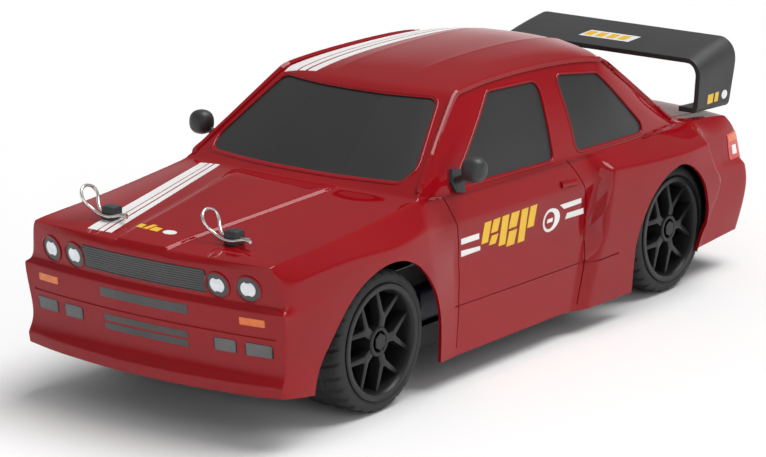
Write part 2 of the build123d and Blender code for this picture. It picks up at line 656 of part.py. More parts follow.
# ---------------------------------------------------------------- rear drive
SPOOL_AT = (AXLE_Y, AXLE_Z)
IDLER_RISE = math.asin(0.25)
IDLER_GAP = GEAR_MODULE * (SPOOL_TEETH + IDLER_TEETH) / 2
IDLER_AT = (AXLE_Y - IDLER_GAP * math.cos(IDLER_RISE), AXLE_Z + IDLER_GAP * math.sin(IDLER_RISE))
PINION_DROP = math.asin(0.25)
PINION_GAP = GEAR_MODULE * (IDLER_TEETH + PINION_TEETH) / 2
PINION_AT = (IDLER_AT[0] - PINION_GAP * math.cos(PINION_DROP),
             IDLER_AT[1] - PINION_GAP * math.sin(PINION_DROP))


def gear(teeth, centre, first_tooth):
    """A spur gear with its axis along X. first_tooth is one tooth's angle from +Y to +Z."""
    pitch_r = GEAR_MODULE * teeth / 2
    base_r = pitch_r * math.cos(math.radians(20))
    tip_r, root_r = pitch_r + 0.92 * GEAR_MODULE, pitch_r - 1.2 * GEAR_MODULE
    half = math.pi / (2 * teeth) - BACKLASH / (2 * pitch_r)

    def involute(r):
        return math.sqrt(max(r * r / base_r ** 2 - 1, 0)) - math.acos(min(base_r / r, 1))

    radii = [max(base_r, root_r) + (tip_r - max(base_r, root_r)) * i / 4 for i in range(5)]
    flank = [(r, half + involute(pitch_r) - involute(r)) for r in radii]
    tooth = [(root_r, flank[0][1])] * (root_r < base_r) + flank
    outline = []
    for i in range(teeth):
        middle = first_tooth + 2 * math.pi * i / teeth
        outline += [(r, middle - a) for r, a in tooth] + [(r, middle + a) for r, a in tooth[::-1]]
    points = [(centre[0] + r * math.cos(a), centre[1] + r * math.sin(a)) for r, a in outline]
    return plate_x(points, -GEAR_WIDTH / 2, GEAR_WIDTH / 2)


def meshing_tooth(teeth_a, tooth_a, direction, teeth_b):
    """Angle of a tooth of gear b, so that it meshes with gear a in that direction."""
    pitch = 2 * math.pi / teeth_a
    part = ((direction - tooth_a) / pitch) % 1
    return direction + math.pi + part * 2 * math.pi / teeth_b + math.pi / teeth_b


def make_gears():
    to_idler = math.pi - IDLER_RISE
    to_pinion = math.pi + PINION_DROP
    spool_tooth = to_idler
    idler_tooth = meshing_tooth(SPOOL_TEETH, spool_tooth, to_idler, IDLER_TEETH)
    pinion_tooth = meshing_tooth(IDLER_TEETH, idler_tooth, to_pinion, PINION_TEETH)
    spool = gear(SPOOL_TEETH, SPOOL_AT, spool_tooth) + rod_x(3, -12, 12, *SPOOL_AT)
    for side in (1, -1):
        spool += rod_x(5, side * 12, side * 20, *SPOOL_AT)
        spool -= rod_x(3.4, side * 12.6, side * 21, *SPOOL_AT)
        spool -= block(side * 12.8, side * 21, AXLE_Y - 1.25, AXLE_Y + 1.25, AXLE_Z - 6, AXLE_Z + 6)
    save("spool_gear", spool)
    idler = gear(IDLER_TEETH, IDLER_AT, idler_tooth) + rod_x(1.5, -6.0, 6.0, *IDLER_AT)
    for i in range(5):
        angle = 2 * math.pi * i / 5
        idler -= rod_x(2.2, -4, 4, IDLER_AT[0] + 6 * math.cos(angle), IDLER_AT[1] + 6 * math.sin(angle))
    save("idler_gear", idler)
    save("pinion_gear", gear(PINION_TEETH, PINION_AT, pinion_tooth) + rod_x(1.15, -14, 3, *PINION_AT))


def make_rear_suspension():
    hx = REAR_HINGE_X
    for name, side in SIDES.items():
        arm = block(23, 30, 80, 100.2, 20, 28)
        for y0, y1 in ((79.6, 82.4), (97.6, 100.4)):
            arm += block(hx, 24, y0, y1, 21, 27) + rod_y(3, y0, y1, hx, AXLE_Z)
            arm -= rod_y(PIN_R + RUN, y0 - 1, y1 + 1, hx, AXLE_Z)
        arm -= rod_x(AXLE_R + RUN, 20, 32, AXLE_Y, AXLE_Z)
        save(f"rear_arm_{name}", on_side(arm, side))
        shaft = rod_x(AXLE_R, hx, 52.4, AXLE_Y, AXLE_Z) + Pos(hx, AXLE_Y, AXLE_Z) * Sphere(3.0)
        shaft += rod_z(0.9, AXLE_Z - 4.4, AXLE_Z + 4.4, hx, AXLE_Y)
        shaft += make_nut(AXLE_Y)
        save(f"half_shaft_{name}", on_side(shaft, side))


# ---------------------------------------------------------------- dampers
# Each damper stands upright: (distance of its axis from the centre line, y, foot height,
# top of the spring, face of the shock tower that it is bolted to).
DAMPERS = {"front": (19.5, -99.4, 13.6, 31.0, -103.7), "rear": (26.5, 96.4, 28.3, 41.0, 103.7)}
SPRING_WIRE_R = 0.45
SPRING_R = 2.9


def make_dampers():
    bodies = []
    for end, (x, y, foot, top, tower) in DAMPERS.items():
        for name, side in SIDES.items():
            body = rod_z(3.6, top, top + 13, x, y) - rod_z(ROD_R + RUN, top - 1, top + 10, x, y)
            tongue = block(x - 2, x + 2, y, tower, top + 6, top + 10)
            tongue -= rod_z(3.0, top + 5, top + 11, x, y)
            bodies.append(on_side(body + tongue, side))
            rod = rod_z(ROD_R, foot + 1, top + 4.5, x, y) + rod_z(3.4, foot, foot + 1.4, x, y)
            rod = rod.fillet(0.5, rod.edges().group_by(Axis.Z)[0])
            save(f"shock_rod_{end}_{name}", on_side(rod, side))
            low, high = foot + 1.4 + SPRING_WIRE_R + 0.05, top - SPRING_WIRE_R - 0.05
            turns = 5
            path = Edge.make_helix((high - low) / turns, high - low, SPRING_R)
            start = Plane(path @ 0, z_dir=path % 0)
            coil = Solid.sweep(Face(Wire.make_circle(SPRING_WIRE_R, start)), path=Wire([path]))
            save(f"spring_{end}_{name}", on_side(Pos(x, y, low) * coil, side))
    save("shock_bodies", *bodies)


# ---------------------------------------------------------------- wheels
RIM_LIP_R = 19.7
RIM_SEAT_R = 17.4
RIM_BORE_R = 16.2


def turned(profile, y):
    """A ring turned about the axle: the profile is (x, radius) points."""
    face = Face(Wire.make_polygon([Vector(x, y, AXLE_Z + r) for x, r in profile]))
    return Solid.revolve(face, 360, Axis((0, y, AXLE_Z), (1, 0, 0)))


def make_rim(y, bore):
    barrel = turned([(32.2, RIM_BORE_R), (WHEEL_OUT - 4, RIM_BORE_R), (WHEEL_OUT, 17.6),
                     (WHEEL_OUT, RIM_LIP_R), (WHEEL_OUT - 1, RIM_LIP_R),
                     (WHEEL_OUT - 1, RIM_SEAT_R), (33.2, RIM_SEAT_R), (33.2, RIM_LIP_R),
                     (32.2, RIM_LIP_R)], y)
    hub = turned([(41, 1), (41, 5.2), (52.2, 5.2), (52.2, 3.5), (50.4, 3.5), (50.4, 1)], y)
    hub -= rod_x(bore, 40, 51, y, AXLE_Z)
    rim = barrel + hub
    split = 8.4
    for i in range(5):
        angle = math.radians(72 * i)
        root = (4.6, angle)
        fork = (split, angle)
        spoke = spoke_bar(y, root, fork, 1.25)
        for turn in (-1, 1):
            spoke += spoke_bar(y, fork, (17.2, angle + turn * math.radians(18)), 0.95)
        rim += spoke
    rim -= rod_x(bore, 40, 51, y, AXLE_Z) + rod_x(3.5, 50.4, 60, y, AXLE_Z)
    return rim


def spoke_bar(y, start, end, half_width):
    """One straight spoke leg, between two places given as radius and angle."""
    a = Vector(0, start[0] * math.cos(start[1]), start[0] * math.sin(start[1]))
    b = Vector(0, end[0] * math.cos(end[1]), end[0] * math.sin(end[1]))
    along = (b - a).normalized()
    across = Vector(0, -along.Z, along.Y) * half_width
    centre = Vector(0, y, AXLE_Z)
    corners = [a + across, a - across, b - across, b + across]
    face = Face(Wire.make_polygon([centre + p + Vector(47.6, 0, 0) for p in corners]))
    return Solid.extrude(face, Vector(WHEEL_OUT - 1.4 - 47.6, 0, 0))


def make_tyre(y):
    seat = RIM_SEAT_R + 0.03
    profile = [(33.3, seat), (33.3, 19.8), (31.8, 19.9), (WHEEL_IN, 21.4), (32.2, 23.1),
               (34.0, TYRE_R), (51.0, TYRE_R), (52.6, 23.3), (53.4, 21.6), (53.3, 19.9),
               (52.7, 19.8), (52.7, seat)]
    return turned(profile, y)


def make_wheels():
    for end, way in ENDS.items():
        for name, side in SIDES.items():
            y = way * AXLE_Y
            bore = AXLE_R + RUN if end == "front" else AXLE_R
            save(f"rim_{end}_{name}", on_side(make_rim(y, bore), side))
            save(f"tyre_{end}_{name}", on_side(make_tyre(y), side))


make_body()
make_wing()
make_mirrors()
make_posts_and_clips()
make_chassis()
make_front_bulkhead()
make_rear_case()
make_electrics()
make_fasteners()
make_steering()
make_front_suspension()
make_gears()
make_rear_suspension()
make_dampers()
make_wheels()
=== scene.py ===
# %% [markdown]
# # Painting and dressing a small rc drift car
# The working parts of the car, with their joints, are already in the scene after the first call.
# This lesson builds the skin that people see around them: the thin painted body, the printed
# film, the wing, the mirrors, the wire clips and the wheels. Lengths are given in millimetres and
# turned into metres only when a mesh is made, because a small car is easier to think about so.

# %% Load the working model
import json
import math

import bmesh
import bpy
import numpy as np
from mathutils import Matrix, Vector
from mathutils.bvhtree import BVHTree


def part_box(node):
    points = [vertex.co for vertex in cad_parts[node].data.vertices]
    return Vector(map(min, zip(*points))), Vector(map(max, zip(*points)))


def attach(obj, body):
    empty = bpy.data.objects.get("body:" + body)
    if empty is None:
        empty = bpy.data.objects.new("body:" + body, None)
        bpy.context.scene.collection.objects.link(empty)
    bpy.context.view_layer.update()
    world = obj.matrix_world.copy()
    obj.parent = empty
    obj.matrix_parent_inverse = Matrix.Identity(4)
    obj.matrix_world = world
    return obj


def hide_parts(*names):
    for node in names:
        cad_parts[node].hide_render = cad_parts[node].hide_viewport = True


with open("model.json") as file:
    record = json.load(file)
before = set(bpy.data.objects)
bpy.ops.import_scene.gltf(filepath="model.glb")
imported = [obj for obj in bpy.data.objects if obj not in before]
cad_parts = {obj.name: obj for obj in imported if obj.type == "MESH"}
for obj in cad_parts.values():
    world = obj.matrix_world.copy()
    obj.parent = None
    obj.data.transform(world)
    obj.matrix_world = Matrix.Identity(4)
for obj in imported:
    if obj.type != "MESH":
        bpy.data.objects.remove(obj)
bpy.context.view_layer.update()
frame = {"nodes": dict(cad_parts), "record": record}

MM = 0.001

# %% [markdown]
# The whole car was drawn in metres with the nose along -Y, the car's left side towards +X and
# the ground at z = 0. The wheels give the two places that everything else is measured from:
# the axles. They are read from the working model, so nothing has to be fitted by eye.

# %% Axles and wheels
def middle(node):
    """The middle of a node of the working model."""
    low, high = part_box(node)
    return (np.array(low) + np.array(high)) / 2


front_axle = middle("tyre_front_left")
rear_axle = middle("tyre_rear_left")
tyre_r = (np.array(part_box("tyre_front_left")[1]) - np.array(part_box("tyre_front_left")[0]))[2] / 2
print("axles at y", round(front_axle[1], 4), round(rear_axle[1], 4), "tyre radius", round(tyre_r, 4))

# %% [markdown]
# ## Finishes
# Moulded and painted parts never have one flat colour. Each finish here starts from one
# Principled shader. A large soft noise shifts the colour a little, a second noise makes some
# places shinier than others, and a fine one roughens the surface. One function makes them all,
# and only the numbers differ, so that black nylon, rubber and lacquer stay related.

# %% A function for moulded, painted and metal finishes
def finish(name, colour, rough, spread=0.15, patch=60.0, rough_spread=0.08, grain=0.0,
           grain_size=900.0, metallic=0.0, coat=0.0, specular=0.5):
    """A procedural finish. Sizes are in patterns per metre."""
    made = bpy.data.materials.new(name)
    made.use_nodes = True
    tree = made.node_tree
    shader = tree.nodes["Principled BSDF"]
    shader.inputs["Metallic"].default_value = metallic
    shader.inputs["Coat Weight"].default_value = coat
    shader.inputs["Coat Roughness"].default_value = 0.03
    shader.inputs["Specular IOR Level"].default_value = specular
    place = tree.nodes.new("ShaderNodeTexCoord")
    cloud = tree.nodes.new("ShaderNodeTexNoise")
    cloud.inputs["Scale"].default_value = patch
    cloud.inputs["Detail"].default_value = 4.0
    tree.links.new(place.outputs["Object"], cloud.inputs["Vector"])
    tint = tree.nodes.new("ShaderNodeValToRGB")
    dark = [c * (1 - spread) for c in colour]
    light = [min(1.0, c * (1 + spread)) for c in colour]
    tint.color_ramp.elements[0].position = 0.3
    tint.color_ramp.elements[0].color = (*dark, 1)
    tint.color_ramp.elements[1].position = 0.7
    tint.color_ramp.elements[1].color = (*light, 1)
    tree.links.new(cloud.outputs["Fac"], tint.inputs["Fac"])
    tree.links.new(tint.outputs["Color"], shader.inputs["Base Color"])
    wear = tree.nodes.new("ShaderNodeTexNoise")
    wear.inputs["Scale"].default_value = patch * 2.3
    wear.inputs["Detail"].default_value = 3.0
    tree.links.new(place.outputs["Object"], wear.inputs["Vector"])
    shine = tree.nodes.new("ShaderNodeMapRange")
    shine.inputs["To Min"].default_value = max(0.0, rough - rough_spread)
    shine.inputs["To Max"].default_value = min(1.0, rough + rough_spread)
    tree.links.new(wear.outputs["Fac"], shine.inputs["Value"])
    tree.links.new(shine.outputs["Result"], shader.inputs["Roughness"])
    if grain > 0:
        fine = tree.nodes.new("ShaderNodeTexNoise")
        fine.inputs["Scale"].default_value = grain_size
        fine.inputs["Detail"].default_value = 2.0
        tree.links.new(place.outputs["Object"], fine.inputs["Vector"])
        bump = tree.nodes.new("ShaderNodeBump")
        bump.inputs["Strength"].default_value = grain
        bump.inputs["Distance"].default_value = 0.0002
        tree.links.new(fine.outputs["Fac"], bump.inputs["Height"])
        tree.links.new(bump.outputs["Normal"], shader.inputs["Normal"])
    return made


# %% [markdown]
# The lacquer is nearly all clear coat over a deep red, with no second reflection under it, which
# keeps the red pure from the side and lets the roof shine at a low angle. The blacks are kept a
# little apart: nylon, rubber, foam and printed film never look the same next to each other.

# %% The finishes of this car
RED = finish("candy_red", (0.29, 0.003, 0.007), 0.3, spread=0.07, patch=25, rough_spread=0.05,
             coat=0.65, grain=0.02, grain_size=2500, specular=0.0)
INSIDE = finish("shell_inside", (0.008, 0.006, 0.006), 0.8, grain=0.2, specular=0.1)
GLASS = finish("smoked_window", (0.030, 0.030, 0.031), 0.36, spread=0.06, patch=30,
               rough_spread=0.04, grain=0.02, specular=0.3)
TRIM = finish("black_trim", (0.030, 0.031, 0.033), 0.45, grain=0.15)
WING = finish("wing_black", (0.036, 0.036, 0.038), 0.5, spread=0.1, grain=0.35, grain_size=1600,
              specular=0.4)
NYLON = finish("moulded_nylon", (0.028, 0.028, 0.029), 0.5, grain=0.4, grain_size=1500)
SLATS = finish("grille_grey", (0.066, 0.066, 0.068), 0.42, grain=0.15)
RIM = finish("satin_black_rim", (0.014, 0.014, 0.015), 0.34, spread=0.1, grain=0.12,
             grain_size=2000, specular=0.32)
RUBBER = finish("tyre_rubber", (0.034, 0.034, 0.036), 0.72, spread=0.12, patch=120, grain=0.5,
                grain_size=1800, specular=0.3)
FOAM = finish("closed_foam", (0.03, 0.03, 0.031), 0.9, grain=1.0, grain_size=1200)
WHITE = finish("white_vinyl", (0.86, 0.86, 0.85), 0.3, spread=0.03, grain=0.03)
YELLOW = finish("yellow_vinyl", (0.86, 0.52, 0.012), 0.3, spread=0.04, grain=0.03)
AMBER = finish("amber_lens", (0.75, 0.16, 0.015), 0.25, spread=0.1, patch=500, coat=0.5)
TAIL = finish("red_lens", (0.62, 0.02, 0.012), 0.2, spread=0.12, patch=400, coat=0.6)
LAMP = finish("lamp_glass", (0.80, 0.83, 0.87), 0.12, spread=0.1, patch=350, coat=1.0)
STEEL = finish("bright_steel", (0.72, 0.71, 0.69), 0.25, metallic=1.0, grain=0.08)
DARK_STEEL = finish("black_steel", (0.05, 0.05, 0.052), 0.35, metallic=1.0, grain=0.1)
CAN = finish("plated_can", (0.55, 0.55, 0.56), 0.3, metallic=1.0, grain=0.1)
BRASS = finish("cut_brass", (0.72, 0.5, 0.2), 0.3, metallic=1.0, grain=0.1)
GEAR = finish("natural_nylon", (0.72, 0.70, 0.64), 0.5, grain=0.1)
WRAP = finish("battery_wrap", (0.006, 0.012, 0.045), 0.4, coat=0.1, grain=0.05)
CASE = finish("electronics_case", (0.02, 0.021, 0.024), 0.45, grain=0.3)
print("finishes:", len(bpy.data.materials))

# %% [markdown]
# Each working part says which finish it belongs to, so one small table dresses all of them. The
# parts under the body are seen through the wheel arches and from below.

# %% Give the working parts their finishes
BY_SLOT = {
    "black_plastic": NYLON, "foam": FOAM, "clip_steel": STEEL, "dark_steel": DARK_STEEL,
    "spring_steel": STEEL, "motor_can": CAN, "electronics": CASE, "battery_blue": WRAP,
    "gear_nylon": GEAR, "brass": BRASS, "rim_black": RIM, "tyre_rubber": RUBBER, "lamp": LAMP,
    "tail_lens": TAIL, "black_trim": TRIM, "wing_black": WING, "smoked_window": GLASS,
    "red_paint": RED,
}
for row in frame["record"]["subparts"]:
    node = frame["nodes"][row["node"]]
    node.data.materials.clear()
    node.data.materials.append(BY_SLOT[row["material_slot"]])


# %% [markdown]
# Most pieces below are made from lists of points and faces, cut with closed tools, and shaded
# smooth with crisp edges. These helpers do that, so that each later cell is only about shape.

# %% Helpers that make a piece
def new_piece(name, points, faces, material, body="chassis", smooth=35):
    """A mesh piece from points in millimetres, riding on a body."""
    mesh = bpy.data.meshes.new(name)
    mesh.from_pydata([tuple(float(v) * MM for v in p) for p in points], [], faces)
    piece = bpy.data.objects.new(name, mesh)
    bpy.context.collection.objects.link(piece)
    piece.data.materials.append(material)
    if smooth is not None:
        shade(piece, smooth)
    if body:
        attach(piece, body)
    return piece


def shade(piece, degrees):
    """Smooth shading, with edges sharper than this left crisp."""
    mesh = piece.data
    mesh.polygons.foreach_set("use_smooth", [True] * len(mesh.polygons))
    mesh.set_sharp_from_angle(angle=math.radians(degrees))


def baked(piece):
    """Apply a piece's modifiers, so that its mesh is the final one."""
    graph = bpy.context.evaluated_depsgraph_get()
    graph.update()
    mesh = bpy.data.meshes.new_from_object(piece.evaluated_get(graph))
    old = piece.data
    piece.modifiers.clear()
    piece.data = mesh
    bpy.data.meshes.remove(old)
    return piece


def outward(piece):
    """Make the faces of a closed mesh point outwards."""
    work = bmesh.new()
    work.from_mesh(piece.data)
    bmesh.ops.recalc_face_normals(work, faces=work.faces)
    work.to_mesh(piece.data)
    work.free()


def prism(name, outline, axis, low, high):
    """A closed prism: the outline's two coordinates are the axes other than its own."""
    others = [k for k in range(3) if k != axis]
    points = []
    for level in (low, high):
        for a, b in outline:
            point = [0.0, 0.0, 0.0]
            point[axis], point[others[0]], point[others[1]] = level, a, b
            points.append(point)
    n = len(outline)
    faces = [tuple(range(n))[::-1], tuple(range(n, 2 * n))]
    faces += [(i, (i + 1) % n, n + (i + 1) % n, n + i) for i in range(n)]
    piece = new_piece(name, points, faces, TRIM, body=None, smooth=None)
    outward(piece)
    return piece


def cut(piece, tool, operation="DIFFERENCE"):
    """Carve a piece with a closed tool, and throw the tool away."""
    step = piece.modifiers.new("cut", "BOOLEAN")
    step.operation = operation
    step.solver = "MANIFOLD"
    step.object = tool
    baked(piece)
    bpy.data.objects.remove(tool)
    return piece


def rounded(corners, radius, steps=5):
    """An outline with each corner rounded by an arc, inside the straight sides."""
    out = []
    n = len(corners)
    for i in range(n):
        here = np.array(corners[i], float)
        before = np.array(corners[i - 1], float) - here
        after = np.array(corners[(i + 1) % n], float) - here
        before /= np.linalg.norm(before)
        after /= np.linalg.norm(after)
        half = math.acos(np.clip(before @ after, -1, 1)) / 2
        r = radius[i] if isinstance(radius, (list, tuple)) else radius
        reach = r / math.tan(half)
        centre = here + (before + after) / np.linalg.norm(before + after) * r / math.sin(half)
        a, b = here + before * reach - centre, here + after * reach - centre
        for k in range(steps + 1):
            t = k / steps
            d = a * (1 - t) + b * t
            out.append(tuple(centre + d / np.linalg.norm(d) * r))
    return out


# %% [markdown]
# ## The body shell
# The real body is one thin moulding, painted from the inside. A good way to get its soft,
# tight highlights is the one that car modellers use: a coarse cage of points, which
# Catmull-Clark subdivision turns into a smooth surface, with creases where a panel folds.
# Each row of the cage runs over the car from the centre line to an edge.

# %% Rows of the cage, from the lip under the nose to the bumper under the tail
# Each row: (y, z) on the centre line, then (x, y, z) at the edge, in millimetres.
NOSE = [
    ((-149.0, 17.4), (53.2, -142.6, 17.8)),
    ((-148.9, 21.2), (53.5, -142.8, 21.4)),
    ((-145.9, 27.2), (52.8, -141.0, 27.4)),
    ((-147.0, 38.0), (53.8, -142.3, 38.0)),
    ((-147.8, 45.0), (54.4, -142.7, 45.1)),
    ((-146.6, 47.8), (51.6, -141.4, 47.4)),
    ((-149.0, 57.4), (50.2, -143.0, 57.2)),
]
BONNET = [
    ((-147.4, 60.6), (48.9, -143.6, 60.2)),
    ((-140.0, 61.6), (49.0, -138.0, 60.8)),
    ((-125.0, 62.9), (49.2, -124.0, 61.4)),
    ((-107.0, 64.4), (49.3, -107.0, 62.3)),
    ((-90.0, 66.0), (49.5, -86.0, 63.9)),
    ((-76.0, 67.2), (49.6, -70.0, 65.3)),
]
CABIN = [
    ((-71.5, 67.8), (49.5, -64.5, 66.2)),
    ((-66.5, 70.6), (46.8, -59.8, 70.0)),
    ((-50.0, 82.4), (41.8, -44.0, 81.0)),
    ((-35.5, 92.1), (37.3, -28.5, 91.6)),
    ((-29.0, 94.9), (36.7, -22.4, 93.6)),
    ((-10.0, 97.1), (36.2, -8.0, 94.5)),
    ((15.0, 98.0), (36.4, 15.0, 94.5)),
    ((38.0, 97.8), (37.4, 36.0, 93.7)),
    ((54.0, 96.8), (38.8, 51.0, 92.4)),
    ((66.0, 95.1), (39.3, 57.0, 91.4)),
    ((75.5, 92.2), (39.8, 62.5, 89.8)),
    ((92.0, 77.4), (41.5, 82.0, 76.4)),
    ((107.0, 63.2), (43.8, 100.0, 63.4)),
    ((111.0, 61.0), (45.3, 106.0, 59.9)),
]
BOOT = [
    ((115.5, 60.6), (45.9, 112.0, 59.4)),
    ((121.5, 60.1), (46.0, 118.0, 58.9)),
    ((134.0, 59.0), (46.2, 132.0, 57.7)),
    ((141.2, 57.9), (46.4, 138.4, 56.7)),
]
TAIL_END = [
    ((144.8, 52.0), (48.0, 142.6, 51.4)),
    ((145.2, 45.0), (49.8, 143.2, 44.2)),
    ((145.4, 40.2), (51.0, 143.0, 40.2)),
    ((148.0, 38.4), (52.2, 144.4, 37.6)),
    ((149.2, 33.0), (52.8, 145.0, 31.0)),
    ((148.4, 23.0), (52.4, 143.2, 22.0)),
    ((145.8, 13.6), (51.8, 139.6, 13.2)),
]
# The bonnet has a raised middle that widens towards the windscreen. A cage line follows
# its edge: how far out that line is, as a share of the row, at each row.
BULGE = [0.2] * 7 + [0.2, 0.215, 0.25, 0.30, 0.35, 0.39] + [0.39] + [0.36] * 13 + [0.33] * 11
BULGE_HEIGHT = 0.9

# %% [markdown]
# The sides of the car are close to flat, with a waist, a low crease and wide rear flares. They
# could be drawn as many cross sections; keeping one list per level, with places along the car,
# needs fewer numbers and makes each line of the body run smoothly from nose to tail.

# %% Levels of the body side, from its top edge down to the skirt
# Each level: how far out (x) and how high (z) it lies at some places (y) along the car.
SIDE_X = [
    None,
    [(-138, 53.4), (-115, 56.0), (-84, 56.2), (-70, 55.0), (-57, 53.8), (-49, 54.0), (34, 54.0),
     (40, 57.8), (74, 59.6), (98, 58.8), (112, 57.4), (118, 50.8), (132, 49.6)],
    [(-138, 54.0), (-118, 57.0), (-84, 57.3), (-68, 56.2), (-57, 54.6), (-49, 53.6), (34, 53.5),
     (40, 58.8), (74, 60.4), (98, 59.9), (112, 58.8), (118, 51.8), (132, 50.6)],
    [(-138, 54.8), (-118, 57.3), (-84, 57.6), (-66, 56.6), (-57, 54.9), (-49, 53.1), (34, 53.0),
     (40, 58.9), (74, 60.5), (98, 60.1), (112, 59.4), (118, 52.4), (132, 51.4)],
    [(-138, 54.9), (-118, 57.0), (-84, 57.5), (-64, 56.6), (-57, 55.2), (-49, 53.7), (34, 53.6),
     (40, 58.8), (74, 60.4), (98, 60.1), (112, 59.4), (118, 53.0), (132, 52.6)],
    [(-138, 53.9), (-118, 56.7), (-84, 57.2), (-64, 56.5), (-57, 55.4), (-49, 54.2), (34, 54.1),
     (40, 58.6), (74, 60.2), (98, 59.7), (112, 58.8), (118, 53.2), (132, 52.9)],
    [(-138, 54.1), (-118, 56.3), (-84, 56.8), (-64, 56.3), (-57, 55.5), (-49, 54.6), (34, 54.5),
     (40, 58.2), (74, 59.8), (98, 59.1), (112, 57.6), (118, 53.2), (132, 52.9)],
    [(-138, 55.2), (-118, 56.0), (-84, 56.4), (-64, 56.1), (-57, 55.5), (-49, 54.9), (34, 54.9),
     (40, 57.4), (74, 58.8), (98, 58.0), (112, 56.4), (118, 52.8), (132, 52.4)],
]
SIDE_Z = [
    None,
    [(-138, 54.9), (-115, 57.4), (-84, 55.8), (-68, 57.2), (-49, 54.9), (34, 52.3), (40, 56.4),
     (74, 54.6), (98, 53.8), (118, 54.0), (132, 52.4)],
    [(-138, 48.2), (-115, 51.8), (-84, 51.8), (-49, 48.6), (34, 46.2), (40, 50.4), (98, 50.2),
     (132, 45.6)],
    [(-138, 44.8), (-115, 46.0), (-84, 46.0), (-49, 41.6), (34, 38.4), (40, 43.0), (98, 44.0),
     (132, 41.2)],
    [(-138, 37.8), (-49, 36.0), (34, 33.6), (98, 38.0), (132, 38.0)],
    [(-138, 29.0), (34, 29.2), (132, 31.0)],
    [(-138, 23.4), (-49, 25.7), (34, 24.4), (60, 22.4), (132, 22.0)],
    [(-138, 17.4), (-124, 15.6), (-59, 9.9), (14, 9.2), (59, 8.2), (104, 11.0), (132, 13.0)],
]
BELT_Z = [(-64.5, 66.2), (-46.7, 64.4), (24.8, 62.8), (106.0, 59.9)]
BELT_X = [(-64.5, 49.5), (-46.7, 50.2), (24.8, 50.4), (60.0, 50.4), (90.0, 48.4), (106.0, 45.3)]
BELT_AT = (-57, -49, -32, -12, 8, 22, 34, 40, 50, 64, 80, 94)
# The front edge of the rear flare runs forwards as it goes down, and its rear edge curls under.
LEANS = [
    (36.0, 24.0, (0.0, 3.0, 1.0, -1.5, -4.0, -7.0, -9.5, -15.0)),
    (114.0, 22.0, (0.0, -5.0, -3.5, -0.5, 3.0, 0.5, -4.5, -9.0)),
]


def at(keys, y):
    """A value between given places along the car."""
    return float(np.interp(y, [k[0] for k in keys], [k[1] for k in keys]))


def cross_row(index, row):
    """Points of one row, from the centre line to the edge, crowned like sheet metal."""
    (yc, zc), (xe, ye, ze) = row
    share = BULGE[index]
    raised = BULGE_HEIGHT if len(NOSE) <= index < len(NOSE) + len(BONNET) else 0.0
    out = []
    for k, u in enumerate((0.0, share, share + 0.035, (share + 1.1) / 2, 0.93, 1.0)):
        lift = raised if k < 2 else 0.0
        out.append((xe * u, yc + (ye - yc) * u ** 2.2, zc + (ze - zc) * u ** 3 + lift))
    return out


def side_column(top):
    """One column of the body side, from its top edge to the skirt."""
    y = top[1]
    column = [top]
    for level in range(1, 8):
        shift = 0.0
        for centre, reach, lean in LEANS:
            shift += max(0.0, 1 - abs(y - centre) / reach) * lean[level]
        column.append((at(SIDE_X[level], y), y + shift, at(SIDE_Z[level], y)))
    return column


rows = NOSE + BONNET + CABIN + BOOT + TAIL_END
strips = [cross_row(k, row) for k, row in enumerate(rows)]
belt = [CABIN[0][1]] + [(at(BELT_X, y), float(y), at(BELT_Z, y)) for y in BELT_AT]
belt.append(CABIN[-1][1])
pillars = [row[1] for row in CABIN]
nose_column = [row[1] for row in BONNET[:1] + NOSE[::-1]]
tail_column = [row[1] for row in BOOT[-1:] + TAIL_END]
tops = [row[1] for row in BONNET[1:]] + belt + [row[1] for row in BOOT[:-1]]
columns = [nose_column] + [side_column(top) for top in tops] + [tail_column]
uprights = []
for low, high in zip(belt, pillars):
    low, high = np.array(low), np.array(high)
    swell = 1.1 if high[2] - low[2] > 15 else 0.0
    uprights.append([tuple(high + (low - high) * t + np.array((swell * w, 0, 0)))
                     for t, w in ((0.0, 0), (0.06, 0), (0.5, 1), (0.94, 0), (1.0, 0))])
print("rows:", len(strips), "side columns:", len(columns), "cabin columns:", len(uprights))

# %% [markdown]
# Creases decide where the subdivided surface stays tight. Values near 1 give a folded edge, as
# along the bonnet and the waist line; around 0.5 they give the soft radius of a moulding.

# %% Join the rows into one mirrored cage with creases
cage_points, cage_faces, cage_creases = [], [], {}
known = {}


def corner(point, mirror):
    """The number of a cage point; points that meet are one."""
    x = -point[0] if mirror else point[0]
    key = (round(x, 3) + 0.0, round(point[1], 3), round(point[2], 3))
    if key not in known:
        known[key] = len(cage_points)
        cage_points.append(key)
    return known[key]


def weave(grid):
    """Faces over a grid of points on both sides of the car."""
    for mirror in (False, True):
        for a, b in zip(grid, grid[1:]):
            for k in range(len(a) - 1):
                ring = [corner(p, mirror) for p in (a[k], a[k + 1], b[k + 1], b[k])]
                ring = [v for i, v in enumerate(ring) if v != ring[i - 1]]
                if len(ring) > 2:
                    cage_faces.append(tuple(ring[::-1]) if mirror else tuple(ring))


def fold(line, value):
    """Crease the cage along a line of points, on both sides of the car."""
    for mirror in (False, True):
        for a, b in zip(line, line[1:]):
            pair = tuple(sorted((corner(a, mirror), corner(b, mirror))))
            if pair[0] != pair[1]:
                cage_creases[pair] = value


